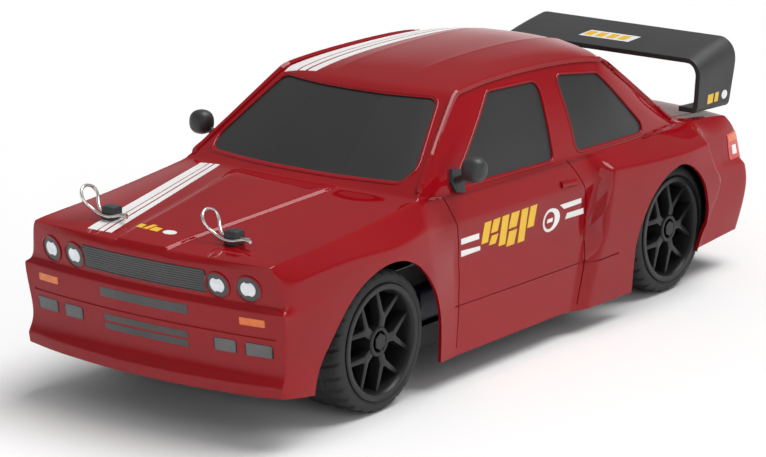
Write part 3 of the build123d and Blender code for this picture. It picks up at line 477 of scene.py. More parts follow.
weave(strips)
weave(columns)
weave(uprights)
nb, nc = len(NOSE), len(NOSE) + len(BONNET)
for index, value in ((1, 0.55), (4, 0.6), (5, 0.55), (6, 0.35), (nb, 0.75), (nc, 0.45),
                     (nc + 1, 0.35), (nc + 10, 0.35), (nc + 12, 0.4), (nc + 17, 0.6),
                     (nc + 20, 0.55), (nc + 21, 0.55)):
    fold(strips[index], value)
for k in range(nb, nc):
    fold([strips[k][1], strips[k + 1][1]], 0.6)
    fold([strips[k][2], strips[k + 1][2]], 0.6)
edge = [row[1] for row in rows]
fold(edge[:nb + 1], 0.35)
fold(edge[nb:nc + 1], 0.7)
fold(pillars, 0.55)
fold(belt, 0.55)
fold(edge[nc + 13:nc + 18], 0.6)
fold(edge[nc + 17:], 0.4)
for level, first, last, value in ((1, 1, -2, 0.6), (3, 7, 13, 0.5), (6, 6, 16, 0.5)):
    fold([column[level] for column in columns[first:last]], value)
for index in (8, 13, 14, 20, 21):
    fold(columns[index][1:], 0.55)
print("cage points:", len(cage_points), "faces:", len(cage_faces))


# %% [markdown]
# Catmull-Clark subdivision shrinks away from its cage. To make the body as wide and as high as the
# real one, the cage is pushed outwards a few times until the smooth surface meets the points.

# %% Subdivide the cage so that the smooth surface passes through its points
def subdivided(points, faces, creases, levels):
    """The Catmull-Clark surface, pulled outwards until it meets the cage's own points."""
    mesh = bpy.data.meshes.new("cage")
    mesh.from_pydata([tuple(v * MM for v in p) for p in points], [], faces)
    layer = mesh.attributes.new("crease_edge", "FLOAT", "EDGE")
    for e in mesh.edges:
        layer.data[e.index].value = creases.get(tuple(sorted(e.vertices)), 0.0)
    cage = bpy.data.objects.new("cage", mesh)
    bpy.context.collection.objects.link(cage)
    step = cage.modifiers.new("smooth", "SUBSURF")
    step.levels = step.render_levels = levels
    target = np.array(points) * MM
    place = target.copy()
    for _ in range(4):
        mesh.vertices.foreach_set("co", place.ravel())
        mesh.update()
        graph = bpy.context.evaluated_depsgraph_get()
        graph.update()
        result = bpy.data.meshes.new_from_object(cage.evaluated_get(graph))
        limit = np.zeros(len(result.vertices) * 3)
        result.vertices.foreach_get("co", limit)
        limit = limit.reshape(-1, 3)[:len(points)]
        place += (target - limit) * 0.75
        final = result
    print("fit of the surface to its points, mm:", round(float(np.abs(target - limit).max()) / MM, 3))
    bpy.data.objects.remove(cage)
    return final


skin_mesh = subdivided(cage_points, cage_faces, cage_creases, 3)
count = len(skin_mesh.vertices)
skin = np.zeros(count * 3)
skin_mesh.vertices.foreach_get("co", skin)
skin = skin.reshape(-1, 3) / MM
print("skin points:", count, "reach:", skin.min(0).round(1), skin.max(0).round(1))

# %% [markdown]
# Everything on the body follows this skin, so one function makes a thin closed sheet at any
# depth under or over it. The wall of the moulding, the window panes and the printed film of
# the stickers are all such sheets, cut to an outline. Depths are along the surface normal.

# %% Sheets that follow the skin
skin_normals = np.zeros(count * 3)
skin_mesh.vertices.foreach_get("normal", skin_normals)
skin_normals = skin_normals.reshape(-1, 3)
skin_faces = [tuple(p.vertices) for p in skin_mesh.polygons]
open_edges = {}
for face in skin_faces:
    for a, b in zip(face, face[1:] + face[:1]):
        open_edges[(a, b)] = True
skin_rim = [(a, b) for a, b in open_edges if (b, a) not in open_edges]
print("edge of the skirt, steps:", len(skin_rim))


def sheet(name, outer, inner, material, body="chassis"):
    """A closed sheet between two heights above the skin, in millimetres."""
    points = np.vstack([skin + skin_normals * outer, skin + skin_normals * inner])
    faces = skin_faces + [tuple(v + count for v in face[::-1]) for face in skin_faces]
    faces += [(b, a, a + count, b + count) for a, b in skin_rim]
    return new_piece(name, points, faces, material, body=body, smooth=None)


def joined(name, tools):
    """Several closed tools as one, for one cut."""
    points, faces = [], []
    for tool in tools:
        base = len(points)
        points += [v.co.copy() for v in tool.data.vertices]
        faces += [tuple(v + base for v in p.vertices) for p in tool.data.polygons]
        bpy.data.objects.remove(tool)
    mesh = bpy.data.meshes.new(name)
    mesh.from_pydata(points, [], faces)
    out = bpy.data.objects.new(name, mesh)
    bpy.context.collection.objects.link(out)
    return out


def mirrored(outline_tool):
    """The tool and its mirror image, as a list."""
    mesh = outline_tool.data.copy()
    for v in mesh.vertices:
        v.co.x = -v.co.x
    mesh.flip_normals()
    other = bpy.data.objects.new("other", mesh)
    bpy.context.collection.objects.link(other)
    return [outline_tool, other]


SHELL_T = 1.1
shell = sheet("painted_shell", 0.0, -SHELL_T, RED)
shell.data.materials.append(INSIDE)
for k in range(len(skin_faces), 2 * len(skin_faces)):
    shell.data.polygons[k].material_index = 1
print("shell faces:", len(shell.data.polygons))

# %% [markdown]
# The wheel arches are trimmed out of the finished moulding, which leaves the thin cut edge
# that shows all round them. The windows have rounded corners, larger at the roof.

# %% Outlines of the openings, as seen from the side (y, z) or the front (x, z)
FRONT_ARCH = [(-131.0, 6), (-128.9, 17.3), (-126.2, 24.5), (-122.3, 31.0), (-115.6, 39.9),
              (-108.8, 45.9), (-101.0, 49.6), (-92.0, 51.4), (-82.8, 50.6), (-73.5, 46.3),
              (-65.6, 38.1), (-61.4, 30.0), (-59.8, 21.5), (-60.2, 6)]
REAR_ARCH = [(55.6, 5), (56.0, 23.2), (57.2, 28.6), (59.5, 33.8), (65.6, 41.8), (73.0, 47.2),
             (80.0, 49.6), (86.5, 50.2), (94.5, 47.2), (101.8, 40.8), (105.6, 33.5),
             (108.0, 26.0), (107.6, 16.0), (104.6, 5)]
WINDSCREEN = rounded([(43.8, 70.2), (32.6, 91.9), (-32.6, 91.9), (-43.8, 70.2)], [3.4, 4.6, 4.6, 3.4])
REAR_SCREEN = rounded([(37.0, 66.0), (33.6, 88.6), (-33.6, 88.6), (-37.0, 66.0)], 4.0)
DOOR_WINDOW = rounded([(-44.4, 66.3), (-8.2, 91.0), (20.6, 89.8), (15.4, 64.2)], [1.6, 4.5, 2.6, 2.6])
QUARTER_WINDOW = rounded([(30.8, 64.3), (32.1, 90.0), (55.6, 87.0), (78.4, 62.8)],
                         [2.6, 3.0, 3.4, 2.0])


def smooth_line(points, steps=4, closed=False):
    """A Catmull-Rom curve through the points."""
    p = [np.array(q, float) for q in points]
    n = len(p)
    out = []
    for i in range(n if closed else n - 1):
        a, b, c, d = (p[(i + k) % n] if closed else p[min(max(i + k, 0), n - 1)] for k in (-1, 0, 1, 2))
        for s in range(steps):
            t = s / steps
            out.append(0.5 * (2 * b + (c - a) * t + (2 * a - 5 * b + 4 * c - d) * t * t
                              + (3 * b - a - 3 * c + d) * t ** 3))
    if not closed:
        out.append(p[-1])
    return [tuple(q) for q in out]


def side_tool(outline, low=30.0, high=70.0):
    """Prisms through both sides of the car."""
    return mirrored(prism("tool", outline, 0, low, high))


window_tools = {
    "windscreen": lambda: [prism("tool", WINDSCREEN, 1, -72, -20)],
    "rear": lambda: [prism("tool", REAR_SCREEN, 1, 66, 112)],
    "door": lambda: side_tool(DOOR_WINDOW, 25, 60),
    "quarter": lambda: side_tool(QUARTER_WINDOW, 25, 60),
}
cut(shell, joined("arches", side_tool(smooth_line(FRONT_ARCH)) + side_tool(smooth_line(REAR_ARCH))))
all_windows = [tool for make in window_tools.values() for tool in make()]
cut(shell, joined("windows", all_windows))
print("shell faces after the openings:", len(shell.data.polygons))

# %% [markdown]
# The panes are the same clear moulding left unpainted on a real shell; here they are tinted
# sheets that fill the openings and lie a little lower than the paint.

# %% Window panes
panes = sheet("window_panes", -0.45, -1.0, GLASS)
cut(panes, joined("windows", [tool for make in window_tools.values() for tool in make()]),
    "INTERSECT")
shade(panes, 30)
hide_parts("window_glazing")
print("pane faces:", len(panes.data.polygons))

# %% [markdown]
# Details on the body are drawn flat, in the view where they make sense, and dropped on to the
# skin with rays. The same rays carry a small section along a line, which makes beads and grooves.

# %% A way to follow the skin: rays that fall on it from the side, the front or above
tree = BVHTree.FromPolygons([tuple(p) for p in skin], skin_faces)
DIRECTIONS = {"left": (-1, 0, 0), "right": (1, 0, 0), "front": (0, 1, 0), "back": (0, -1, 0),
              "top": (0, 0, -1)}


def on_skin(a, b, way):
    """The skin's point and normal under two coordinates, seen from that way."""
    d = Vector(DIRECTIONS[way])
    start = {"left": (200, a, b), "right": (-200, a, b), "front": (a, -300, b),
             "back": (a, 300, b), "top": (a, b, 200)}[way]
    place, normal, _, _ = tree.ray_cast(Vector(start), d)
    if place is None:
        place, normal, _, _ = tree.find_nearest(Vector(start) + d * 200)
    if normal.dot(d) > 0:
        normal = -normal
    return np.array(place), np.array(normal)


def walked(line, step=1.2, closed=False):
    """Points at even steps along a line."""
    p = [np.array(q, float) for q in line] + ([np.array(line[0], float)] if closed else [])
    out = []
    for a, b in zip(p, p[1:]):
        n = max(1, int(round(np.linalg.norm(b - a) / step)))
        out += [a + (b - a) * k / n for k in range(n)]
    if not closed:
        out.append(p[-1])
    return out


def strip_solid(places, normals, profile, closed=False):
    """Points and faces of a solid strip: the profile is (across, above) round the section."""
    places, normals = np.array(places), np.array(normals)
    n = len(places)
    ahead = np.roll(places, -1, 0) - np.roll(places, 1, 0)
    if not closed:
        ahead[0], ahead[-1] = places[1] - places[0], places[-1] - places[-2]
    ahead /= np.linalg.norm(ahead, axis=1)[:, None]
    across = np.cross(ahead, normals)
    across /= np.linalg.norm(across, axis=1)[:, None]
    up = np.cross(across, ahead)
    points = [places[i] + across[i] * u + up[i] * v for i in range(n) for u, v in profile]
    m = len(profile)
    faces = []
    for i in range(n if closed else n - 1):
        j = (i + 1) % n
        faces += [(i * m + k, i * m + (k + 1) % m, j * m + (k + 1) % m, j * m + k) for k in range(m)]
    if not closed:
        faces += [tuple(range(m))[::-1], tuple(range((n - 1) * m, n * m))]
    return points, faces


def along_skin(lines, ways, profile, closed=False, step=1.2):
    """Solid strips over the skin along lines drawn in that view, as points and faces."""
    points, faces = [], []
    for line in lines:
        for way in ways:
            found = [on_skin(q[0], q[1], way) for q in walked(line, step, closed)]
            more, rings = strip_solid([f[0] for f in found], [f[1] for f in found], profile, closed)
            base = len(points)
            points += more
            faces += [tuple(v + base for v in ring) for ring in rings]
    return points, faces


def strip_piece(name, lines, ways, profile, material, closed=False, step=1.2):
    points, faces = along_skin(lines, ways, profile, closed, step)
    piece = new_piece(name, points, faces, material, smooth=None)
    outward(piece)
    shade(piece, 50)
    return piece


# %% [markdown]
# The doors and the boot lid of a shell like this don't open. They are thin grooves pressed into
# the moulding, so they are cut with a small section carried along each shut line.

# %% Shut lines of the doors, the fold under the bumper and the boot lid
GROOVE = [(-0.28, 0.6), (0.28, 0.6), (0.22, -0.42), (-0.22, -0.42)]
SHUT_LINES = [
    smooth_line([(-52.4, 65.0), (-50.8, 62.4), (-48.6, 54.5), (-46.4, 42.0), (-47.8, 28.0),
                 (-49.8, 12.5)]),
    smooth_line([(23.2, 62.4), (28.7, 54.4), (32.0, 42.0), (28.2, 27.0), (23.2, 11.0)]),
    [(-50.6, 26.9), (-10.0, 26.0), (26.3, 25.3), (45.5, 25.5)],
]


def carve(lines, ways, profile):
    """Cut a groove of that section into the shell, along lines drawn in that view."""
    points, faces = along_skin(lines, ways, profile)
    groove = new_piece("groove", points, faces, TRIM, body=None, smooth=None)
    outward(groove)
    cut(shell, groove)


carve(SHUT_LINES, ("left", "right"), GROOVE)
WIDE_GROOVE = [(-0.95, 0.6), (0.95, 0.6), (0.1, -0.36), (-0.1, -0.36)]
carve([[(-50.5, 36.8), (50.5, 36.8)]], ("front",), WIDE_GROOVE)
BOOT_LID = [(38.5, 113.0), (38.8, 126.0), (38.9, 138.6)]
carve([BOOT_LID, [(-a, b) for a, b in BOOT_LID]], ("top",), GROOVE)
print("grooves cut, shell faces:", len(shell.data.polygons))

# %% [markdown]
# The body hangs on four posts that come up through round holes. The inside of the moulding is
# black and its cut edges are red. Along the sharpest folds, at the roof edge and the waist, the
# inner face of this sheet comes out through the outer one by about a millimetre. The real car
# has no such ridge there. It is a fault whose cause wasn't found, and it is only painted red.

# %% Post holes, and which faces of the shell are red
HOLE_R = 3.1
POST_PLACES = [(25.6, -132.0), (-25.6, -132.0), (22.0, 115.5), (-22.0, 115.5)]
holes = [prism("hole", [(x + HOLE_R * math.cos(t), y + HOLE_R * math.sin(t))
                        for t in np.linspace(0, 2 * math.pi, 25)[:-1]], 2, 50, 75)
         for x, y in POST_PLACES]
cut(shell, joined("holes", holes))
RIDGE_REACH = 4.0
ridges = np.vstack([walked(smooth_line(pillars, 4), 1.5), walked(belt, 1.5)])
painted = 0
for face in shell.data.polygons:
    if face.material_index == 0:
        continue
    here = np.array(face.center) / MM
    here[0] = abs(here[0])
    if face.material_index > 1 or ((ridges - here) ** 2).sum(1).min() < RIDGE_REACH ** 2:
        face.material_index = 0
        painted += 1
while len(shell.data.materials) > 2:
    shell.data.materials.pop(index=len(shell.data.materials) - 1)
print("cut edges and faces along the faulty folds painted red:", painted)
shade(shell, 38)
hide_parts("body_shell")
print("finished shell faces:", len(shell.data.polygons))

# %% [markdown]
# Small raised parts of the moulding: a bead round every window, the drip rail from the screen
# pillar over the roof to the boot, and the door handles. On the real shell they are pressed
# out of the same sheet, so they carry the same paint.

# %% Beads, drip rails and door handles
BEAD = [(-0.55, -0.3), (-0.46, 0.16), (-0.18, 0.34), (0.18, 0.34), (0.46, 0.16), (0.55, -0.3)]


def grown(outline, by):
    """An outline moved outwards."""
    p = np.array(outline)
    middle = p.mean(0)
    ahead = np.roll(p, -1, 0) - np.roll(p, 1, 0)
    normal = np.stack([ahead[:, 1], -ahead[:, 0]], 1)
    normal /= np.linalg.norm(normal, axis=1)[:, None]
    if ((p - middle) * normal).sum() < 0:
        normal = -normal
    return [tuple(q) for q in p + normal * by]


BEAD_GAP = 0.6
for name, windows, ways in (("screen_bead", [WINDSCREEN], ("front",)),
                            ("rear_screen_bead", [REAR_SCREEN], ("back",)),
                            ("side_window_beads", [DOOR_WINDOW, QUARTER_WINDOW], ("left", "right"))):
    strip_piece(name, [grown(outline, BEAD_GAP) for outline in windows], ways, BEAD, RED,
                closed=True)
HANDLE = [(-1.3, -0.3), (-1.15, 0.35), (-0.6, 0.8), (0.6, 0.8), (1.15, 0.35), (1.3, -0.3)]
strip_piece("door_handles", [[(15.7, 55.5), (25.0, 54.8)]], ("left", "right"), HANDLE, RED)
LEDGE = [(-0.8, -0.3), (-0.6, 0.3), (0.0, 0.5), (0.6, 0.3), (0.8, -0.3)]
rail_line = [np.array(p) for p in pillars[1:-1]]
rail_points = walked(smooth_line(rail_line, 4), 1.5)
rail_solids = []
for side in (1, -1):
    found = [tree.find_nearest(Vector((p[0] * side, p[1], p[2]))) for p in rail_points]
    rail_solids.append(strip_solid([np.array(f[0]) for f in found], [np.array(f[1]) for f in found],
                                   LEDGE))
points = rail_solids[0][0] + rail_solids[1][0]
faces = rail_solids[0][1] + [tuple(v + len(rail_solids[0][0]) for v in f) for f in rail_solids[1][1]]
rails = new_piece("drip_rails", points, faces, RED, smooth=None)
outward(rails)
shade(rails, 50)
print("raised parts made")

# %% [markdown]
# ## Printed film on the nose
# The grille, the lamps, the intakes and the indicators of a body like this are printed films.
# Each one is a sheet just above the paint, cut to its outline; the finer lines are thin raised
# strips, so they catch the light as embossed film does.

# %% A film cut to outlines
FILM = 0.1


def film(name, tools, material, rise=0.0):
    piece = sheet(name, FILM + rise, -0.25, material)
    cut(piece, joined("tool", tools), "INTERSECT")
    shade(piece, 40)
    return piece


def circle(x, z, r, n=40):
    return [(x + r * math.cos(t), z + r * math.sin(t)) for t in np.linspace(0, 2 * math.pi, n + 1)[:-1]]


def nose_tool(outline):
    return prism("tool", outline, 1, -152, -134)


def pair(outline):
    """An outline on the nose, and its mirror image."""
    return [nose_tool(outline), nose_tool([(-a, b) for a, b in outline])]


def box_outline(x0, x1, z0, z1, r=0.5):
    return rounded([(x0, z0), (x1, z0), (x1, z1), (x0, z1)], r, 3)


# %% [markdown]
# The grille is a dark film with fine raised slats and a thin frame. Eight slats are enough to
# read as a grille at this size. Three plain strips lie under it in the bumper.

# %% Grille and bumper strips
GRILLE = rounded([(-25.4, 49.0), (25.4, 49.0), (26.2, 52.6), (25.4, 56.6), (-25.4, 56.6),
                  (-26.2, 52.6)], [0.8, 0.8, 1.0, 0.8, 0.8, 1.0], 3)
film("grille_film", [nose_tool(GRILLE)], SLATS)
slat_lines = [[(-25.0, z), (25.0, z)] for z in np.linspace(49.9, 55.7, 8)]
SLAT = [(-0.13, 0.0), (-0.1, 0.26), (0.1, 0.26), (0.13, 0.0)]
slats = strip_piece("grille_slats", slat_lines, ("front",), SLAT, SLATS, step=2.0)
FRAME = [(-0.2, 0.0), (-0.15, 0.3), (0.15, 0.3), (0.2, 0.0)]
strip_piece("grille_edge", [GRILLE], ("front",), FRAME, TRIM, closed=True)
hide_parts("grille_insert")
film("intake_films", [nose_tool(box_outline(-18.3, 18.3, 40.6, 43.8)),
                      nose_tool(box_outline(-17.6, 17.6, 32.4, 34.6, 0.9)),
                      nose_tool(box_outline(-17.6, 17.6, 29.4, 31.6, 0.9))], SLATS)
print("grille slats:", len(slat_lines))

# %% [markdown]
# Four round headlamps: a grey ring, a clear lens with a flat at its top and bottom, and a raised
# red bezel. The indicators are plain amber blocks under them.

# %% Headlamps and indicators
LAMPS = [(29.8, 52.1), (41.0, 52.2)]
LAMP_RING_R, BEZEL_R, LENS_R, LENS_FLAT_R = 4.1, 4.4, 2.6, 2.1
film("lamp_rings", [t for x, z in LAMPS for t in pair(circle(x, z, LAMP_RING_R))], SLATS, 0.02)
notched = []
for t in np.linspace(0, 2 * math.pi, 49)[:-1]:
    r = LENS_FLAT_R if abs(math.sin(t)) > 0.93 else LENS_R
    notched.append((r * math.cos(t), r * math.sin(t)))
lenses = film("lamp_lenses", [t for x, z in LAMPS
                              for t in pair([(x + a, z + b) for a, b in notched])], LAMP, 0.25)
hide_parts("headlights")
RING = [(-0.35, -0.1), (-0.3, 0.35), (0.0, 0.5), (0.3, 0.35), (0.35, -0.1)]
strip_piece("lamp_bezels", [circle(x * s, z, BEZEL_R) for x, z in LAMPS for s in (1, -1)], ("front",),
            RING, RED, closed=True, step=0.8)
film("indicators", pair(box_outline(38.0, 47.2, 40.5, 43.0, 0.3)), AMBER, 0.05)
print("headlamps:", 2 * len(LAMPS))

# %% [markdown]
# The small intakes are black film printed with a woven mesh. Real wires crossing on the slant
# catch more light than a drawn pattern, and there are few enough of them to make one by one.

# %% Intake meshes
INTAKE_SIDES, INTAKE_LOW, INTAKE_HIGH = [(27.4, 36.0), (39.2, 49.2)], 30.2, 34.6
MESHES = [box_outline(a, b, INTAKE_LOW, INTAKE_HIGH, 0.7) for a, b in INTAKE_SIDES]
film("intake_backs", [t for outline in MESHES for t in pair(outline)], INSIDE)
wires = []
WIRE_RUN, WIRE_START_Z, WIRE_STEP, EDGE_GAP = 4.2, 30.3, 1.2, 0.2
for low, high in INTAKE_SIDES:
    for lean in (WIRE_RUN, -WIRE_RUN):
        for start in np.arange(low - 5, high + 5, WIRE_STEP):
            ts = [t for t in np.linspace(0, 1, 14)
                  if low + EDGE_GAP < start + lean * t < high - EDGE_GAP]
            if len(ts) > 2:
                wires.append([(start + lean * t, WIRE_START_Z + WIRE_RUN * t)
                              for t in (ts[0], ts[-1])])
wires += [[(-a, b) for a, b in wire] for wire in wires]
WIRE = [(-0.09, 0.05), (-0.07, 0.2), (0.07, 0.2), (0.09, 0.05)]
MESH_GREY = finish("printed_mesh", (0.42, 0.42, 0.43), 0.4, grain=0.1)
strip_piece("intake_meshes", wires, ("front",), WIRE, MESH_GREY, step=2.2)
print("nose films made:", len(wires), "mesh wires")

# %% [markdown]
# ## Stripes and side graphics
# Three white stripes run over the right half of the bonnet and roof. Each door has two short
# stripes at either end of a badge. The badge is a made-up mark of slanted blocks and a ring.

# %% Stripes on the bonnet and roof
def top_tool(outline, low=50, high=110):
    return prism("tool", outline, 2, low, high)


def slanted(front, back, a, b):
    """A stripe between two places along the car; a and b are shares of the band's width."""
    (y0, x0, x1), (y1, x2, x3) = front, back
    return [(x0 + (x1 - x0) * a, y0), (x0 + (x1 - x0) * b, y0),
            (x2 + (x3 - x2) * b, y1), (x2 + (x3 - x2) * a, y1)]


BAND = [(0.0, 0.4), (0.46, 0.66), (0.74, 1.0)]
BONNET_BAND = ((-143.2, -26.4, -16.2), (-69.5, -39.2, -30.6))
ROOF_BAND = ((-29.0, -34.0, -20.0), (58.0, -30.0, -16.2))
stripe_tools = [top_tool(slanted(*BONNET_BAND, a, b)) for a, b in BAND]
stripe_tools += [top_tool(slanted(*ROOF_BAND, a, b), 88) for a, b in BAND]
film("top_stripes", stripe_tools, WHITE)
print("stripes:", len(stripe_tools))

# %% [markdown]
# Cut vinyl on the doors: white stripes, yellow slanted blocks and a white ring with a point. The
# blocks only keep the rhythm of a racing sticker and spell nothing. Small copies lie on the
# bonnet.

# %% Side graphics
def slant_box(y0, y1, z0, z1, rise=0.0, lean=1.2):
    """A block that rises along the car and leans like italic print."""
    return [(y0, z0), (y1, z0 + rise), (y1 + lean, z1 + rise), (y0 + lean, z1)]


white_marks = [[(-45.6, 47.3), (-35.0, 47.1), (-35.3, 49.2), (-45.9, 49.4)],
               [(-45.1, 42.9), (-33.9, 42.9), (-34.1, 44.4), (-45.3, 45.1)],
               [(17.2, 46.7), (28.2, 46.6), (27.8, 48.5), (14.3, 48.7)],
               [(18.4, 42.7), (30.4, 42.2), (29.9, 44.4), (19.4, 44.7)]]
yellow_marks = [slant_box(-33.6, -29.6, 44.8, 52.2), slant_box(-28.2, -24.2, 47.6, 52.2),
                slant_box(-28.8, -24.8, 43.4, 46.6), slant_box(-22.9, -18.9, 41.8, 52.2),
                slant_box(-17.4, -12.6, 46.8, 52.2), slant_box(-18.1, -13.3, 40.6, 45.8),
                slant_box(-11.2, -7.2, 40.4, 52.2), slant_box(-5.8, -1.8, 44.6, 52.2)]


def door_tools(outlines):
    return [t for outline in outlines for t in side_tool(outline, 45, 62)]


film("door_marks_white", door_tools(white_marks), WHITE)
film("door_marks_yellow", door_tools(yellow_marks), YELLOW, 0.06)
badge = [(8.4 + 4.2 * math.cos(t) * (1.5 if math.cos(t) > 0 else 1.0), 44.4 + 4.2 * math.sin(t))
         for t in np.linspace(0, 2 * math.pi, 41)[:-1]]
inner_badge = [(8.2 + 3.1 * math.cos(t), 44.4 + 3.1 * math.sin(t))
               for t in np.linspace(0, 2 * math.pi, 33)[:-1]]
film("door_badges", door_tools([badge]), WHITE, 0.02)
film("door_badge_middles", door_tools([inner_badge]), RED, 0.12)
film("door_badge_marks", door_tools([slant_box(6.4, 9.8, 43.7, 45.1, 0.0, 0.3)]), WHITE, 0.2)
bonnet_marks = [[(-12.4, -137.0), (-8.6, -137.3), (-9.0, -134.2), (-12.6, -133.9)],
                [(-8.0, -137.4), (-6.2, -137.5), (-5.4, -133.0), (-7.2, -132.9)],
                [(-5.2, -137.6), (-1.6, -137.8), (-1.8, -134.6), (-5.0, -134.4)]]
film("bonnet_marks", [top_tool(m) for m in bonnet_marks], YELLOW)
film("bonnet_badge", [top_tool([(2.6 + 2.6 * math.cos(t), -136.4 + 1.8 * math.sin(t))
                                for t in np.linspace(0, 2 * math.pi, 25)[:-1]])], WHITE)
print("stripes and graphics made")

# %% [markdown]
# The tail lights wrap round the rear corners, so their film is cut from the skin by a tool that
# comes from the side and reaches past the corner.

# %% Tail lights: red films with a white block, on both rear corners
tail = film("tail_light_films", side_tool(box_outline(134.6, 148, 40.9, 50.6, 0.6), 26, 62), TAIL,
            0.1)
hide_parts("tail_lights")
film("tail_light_whites", side_tool(box_outline(137.4, 140.8, 42.6, 46.0, 0.3), 44, 62), WHITE, 0.2)
film("tail_light_ambers", side_tool(box_outline(135.2, 146, 47.6, 50.0, 0.3), 44, 62), AMBER, 0.2)
print("tail lights made")

# %% [markdown]
# ## The wing
# One plate of black plastic, bent down into two end plates whose feet stand on the boot. It is
# drawn as a grid that follows the bend across the car and the chord along it, then thickened
# and rounded at its edges, as an injection moulding would be.

# %% Wing
HALF, BEND, FOOT_Z, WING_T = 46.0, 7.0, 60.9, 1.9
arc = [math.radians(a) for a in range(0, 91, 10)]
half_path = [(x, 0.0) for x in (0, 8, 16, 24, 32)]
half_path += [(HALF - BEND + BEND * math.sin(a), BEND * math.cos(a) - BEND) for a in arc]
half_path += [(HALF, d) for d in (-9.5, -12.5, -15.5, -18.0)]
half_path += [(HALF - 2 + 2 * math.cos(a), -18.6 - 2 * math.sin(a)) for a in arc[2::2]]
half_path += [(42.0, -20.6), (38.2, -20.6)]
path = [(-x, d) for x, d in half_path[:0:-1]] + half_path
LEAD = [(-20.6, 118.2), (-16, 119.2), (-8, 119.8), (-3, 120.4), (0, 121.2)]
TRAIL = [(-20.6, 141.6), (-14, 143.6), (-8, 145.6), (-3, 146.2), (0, 145.8)]
CHORD = [0.0, 0.03, 0.1, 0.25, 0.4, 0.55, 0.7, 0.85, 0.97, 1.0]
grid = []
for x, drop in path:
    lead = np.interp(drop, [k[0] for k in LEAD], [k[1] for k in LEAD])
    trail = np.interp(drop, [k[0] for k in TRAIL], [k[1] for k in TRAIL])
    foot = abs(x) < HALF - 1.5 and drop < -18
    if foot:
        trail = 137.0
    line = []
    for c in CHORD:
        y = lead + (trail - lead) * c
        top = 80.9 + 4.6 * c + 0.35 * math.sin(math.pi * c)
        low = 61.2 - (y - 118) * 0.055
        z = top + drop * (top - low) / 20.6
        line.append((x, y, z))
    grid.append(line)
across = len(CHORD)
points = [p for line in grid for p in line]
faces = [(i * across + k, i * across + k + 1, (i + 1) * across + k + 1, (i + 1) * across + k)
         for i in range(len(grid) - 1) for k in range(across - 1)]
wing = new_piece("wing_moulding", points, faces, WING, smooth=None)
outward_z = sum(p.normal.z for p in wing.data.polygons)
if outward_z < 0:
    wing.data.flip_normals()
thick = wing.modifiers.new("thick", "SOLIDIFY")
thick.thickness, thick.offset = WING_T * MM, -1.0
soft = wing.modifiers.new("soft", "BEVEL")
soft.width, soft.segments, soft.limit_method, soft.angle_limit = 0.45 * MM, 2, "ANGLE", math.radians(50)
baked(wing)
shade(wing, 35)
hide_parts("rear_wing")
wing_tree = BVHTree.FromPolygons([v.co / MM for v in wing.data.vertices],
                                 [tuple(p.vertices) for p in wing.data.polygons])


def laid_on(name, outlines, start_of, way, material, lift=0.07):
    """Flat marks on the wing, found by rays."""
    points, faces = [], []
    for outline in outlines:
        base = len(points)
        for a, b in outline:
            place, normal, _, _ = wing_tree.ray_cast(Vector(start_of(a, b)), Vector(way))
            points.append(np.array(place) - np.array(way) * lift)
        faces.append(tuple(range(base, len(points))))
    return new_piece(name, points, faces, material, smooth=None)


wing_marks = [[(x, 128.6), (x + 3.6, 128.6), (x + 4.6, 132.6), (x + 1.0, 132.6)]
              for x in (-11.5, -6.5, -1.5, 3.5)]
laid_on("wing_mark_borders", [[(-13.0, 127.6), (9.4, 127.6), (11.6, 133.6), (-10.8, 133.6)]],
        lambda a, b: (a, b, 120), (0, 0, -1), WHITE, 0.05)
laid_on("wing_marks", wing_marks, lambda a, b: (a, b, 120), (0, 0, -1), YELLOW, 0.09)
end_marks = [[(125.6, 63.4), (129.6, 63.4), (130.4, 66.9), (126.4, 66.9)],
             [(130.8, 63.4), (133.4, 63.4), (134.2, 66.9), (131.6, 66.9)]]
end_ring = [[(138.2 + 2.1 * math.cos(t), 65.1 + 1.7 * math.sin(t))
             for t in np.linspace(0, 2 * math.pi, 19)[:-1]]]
for side, word in ((1, "left"), (-1, "right")):
    laid_on(f"end_plate_marks_{word}", end_marks, lambda a, b: (side * 60, a, b), (-side, 0, 0), YELLOW)
    laid_on(f"end_plate_ring_{word}", end_ring, lambda a, b: (side * 60, a, b), (-side, 0, 0), WHITE)
print("wing faces:", len(wing.data.polygons))


# %% [markdown]
# ## Mirrors, posts and clips
# The mirrors are plain rounded heads on short stalks. The posts are square pegs with rounded
# corners; each wire clip has a straight leg through the peg, a wavy leg that grips it from the
# outside, and a loop bent upwards for the fingers.

# %% Round sections: lathes and wires
def lathe(name, profile, count, material, body="chassis", centre=(0, 0, 0), axis=0,
          smooth=35, closed=True):
    """A turned solid: the profile is (along the axis, radius)."""
    points, faces = [], []
    m = len(profile)
    for i in range(count):
        t = 2 * math.pi * i / count
        for along, r in profile:
            point = [0.0, 0.0, 0.0]
            point[axis] = along
            point[(axis + 1) % 3] = r * math.cos(t)
            point[(axis + 2) % 3] = r * math.sin(t)
            points.append([p + c for p, c in zip(point, centre)])
    for i in range(count):
        j = (i + 1) % count
        for k in range(m if closed else m - 1):
            faces.append((i * m + k, j * m + k, j * m + (k + 1) % m, i * m + (k + 1) % m))
    piece = new_piece(name, points, faces, material, body=body, smooth=None)
    work = bmesh.new()
    work.from_mesh(piece.data)
    bmesh.ops.remove_doubles(work, verts=work.verts, dist=1e-7)
    bmesh.ops.recalc_face_normals(work, faces=work.faces)
    work.to_mesh(piece.data)
    work.free()
    shade(piece, smooth)
    return piece


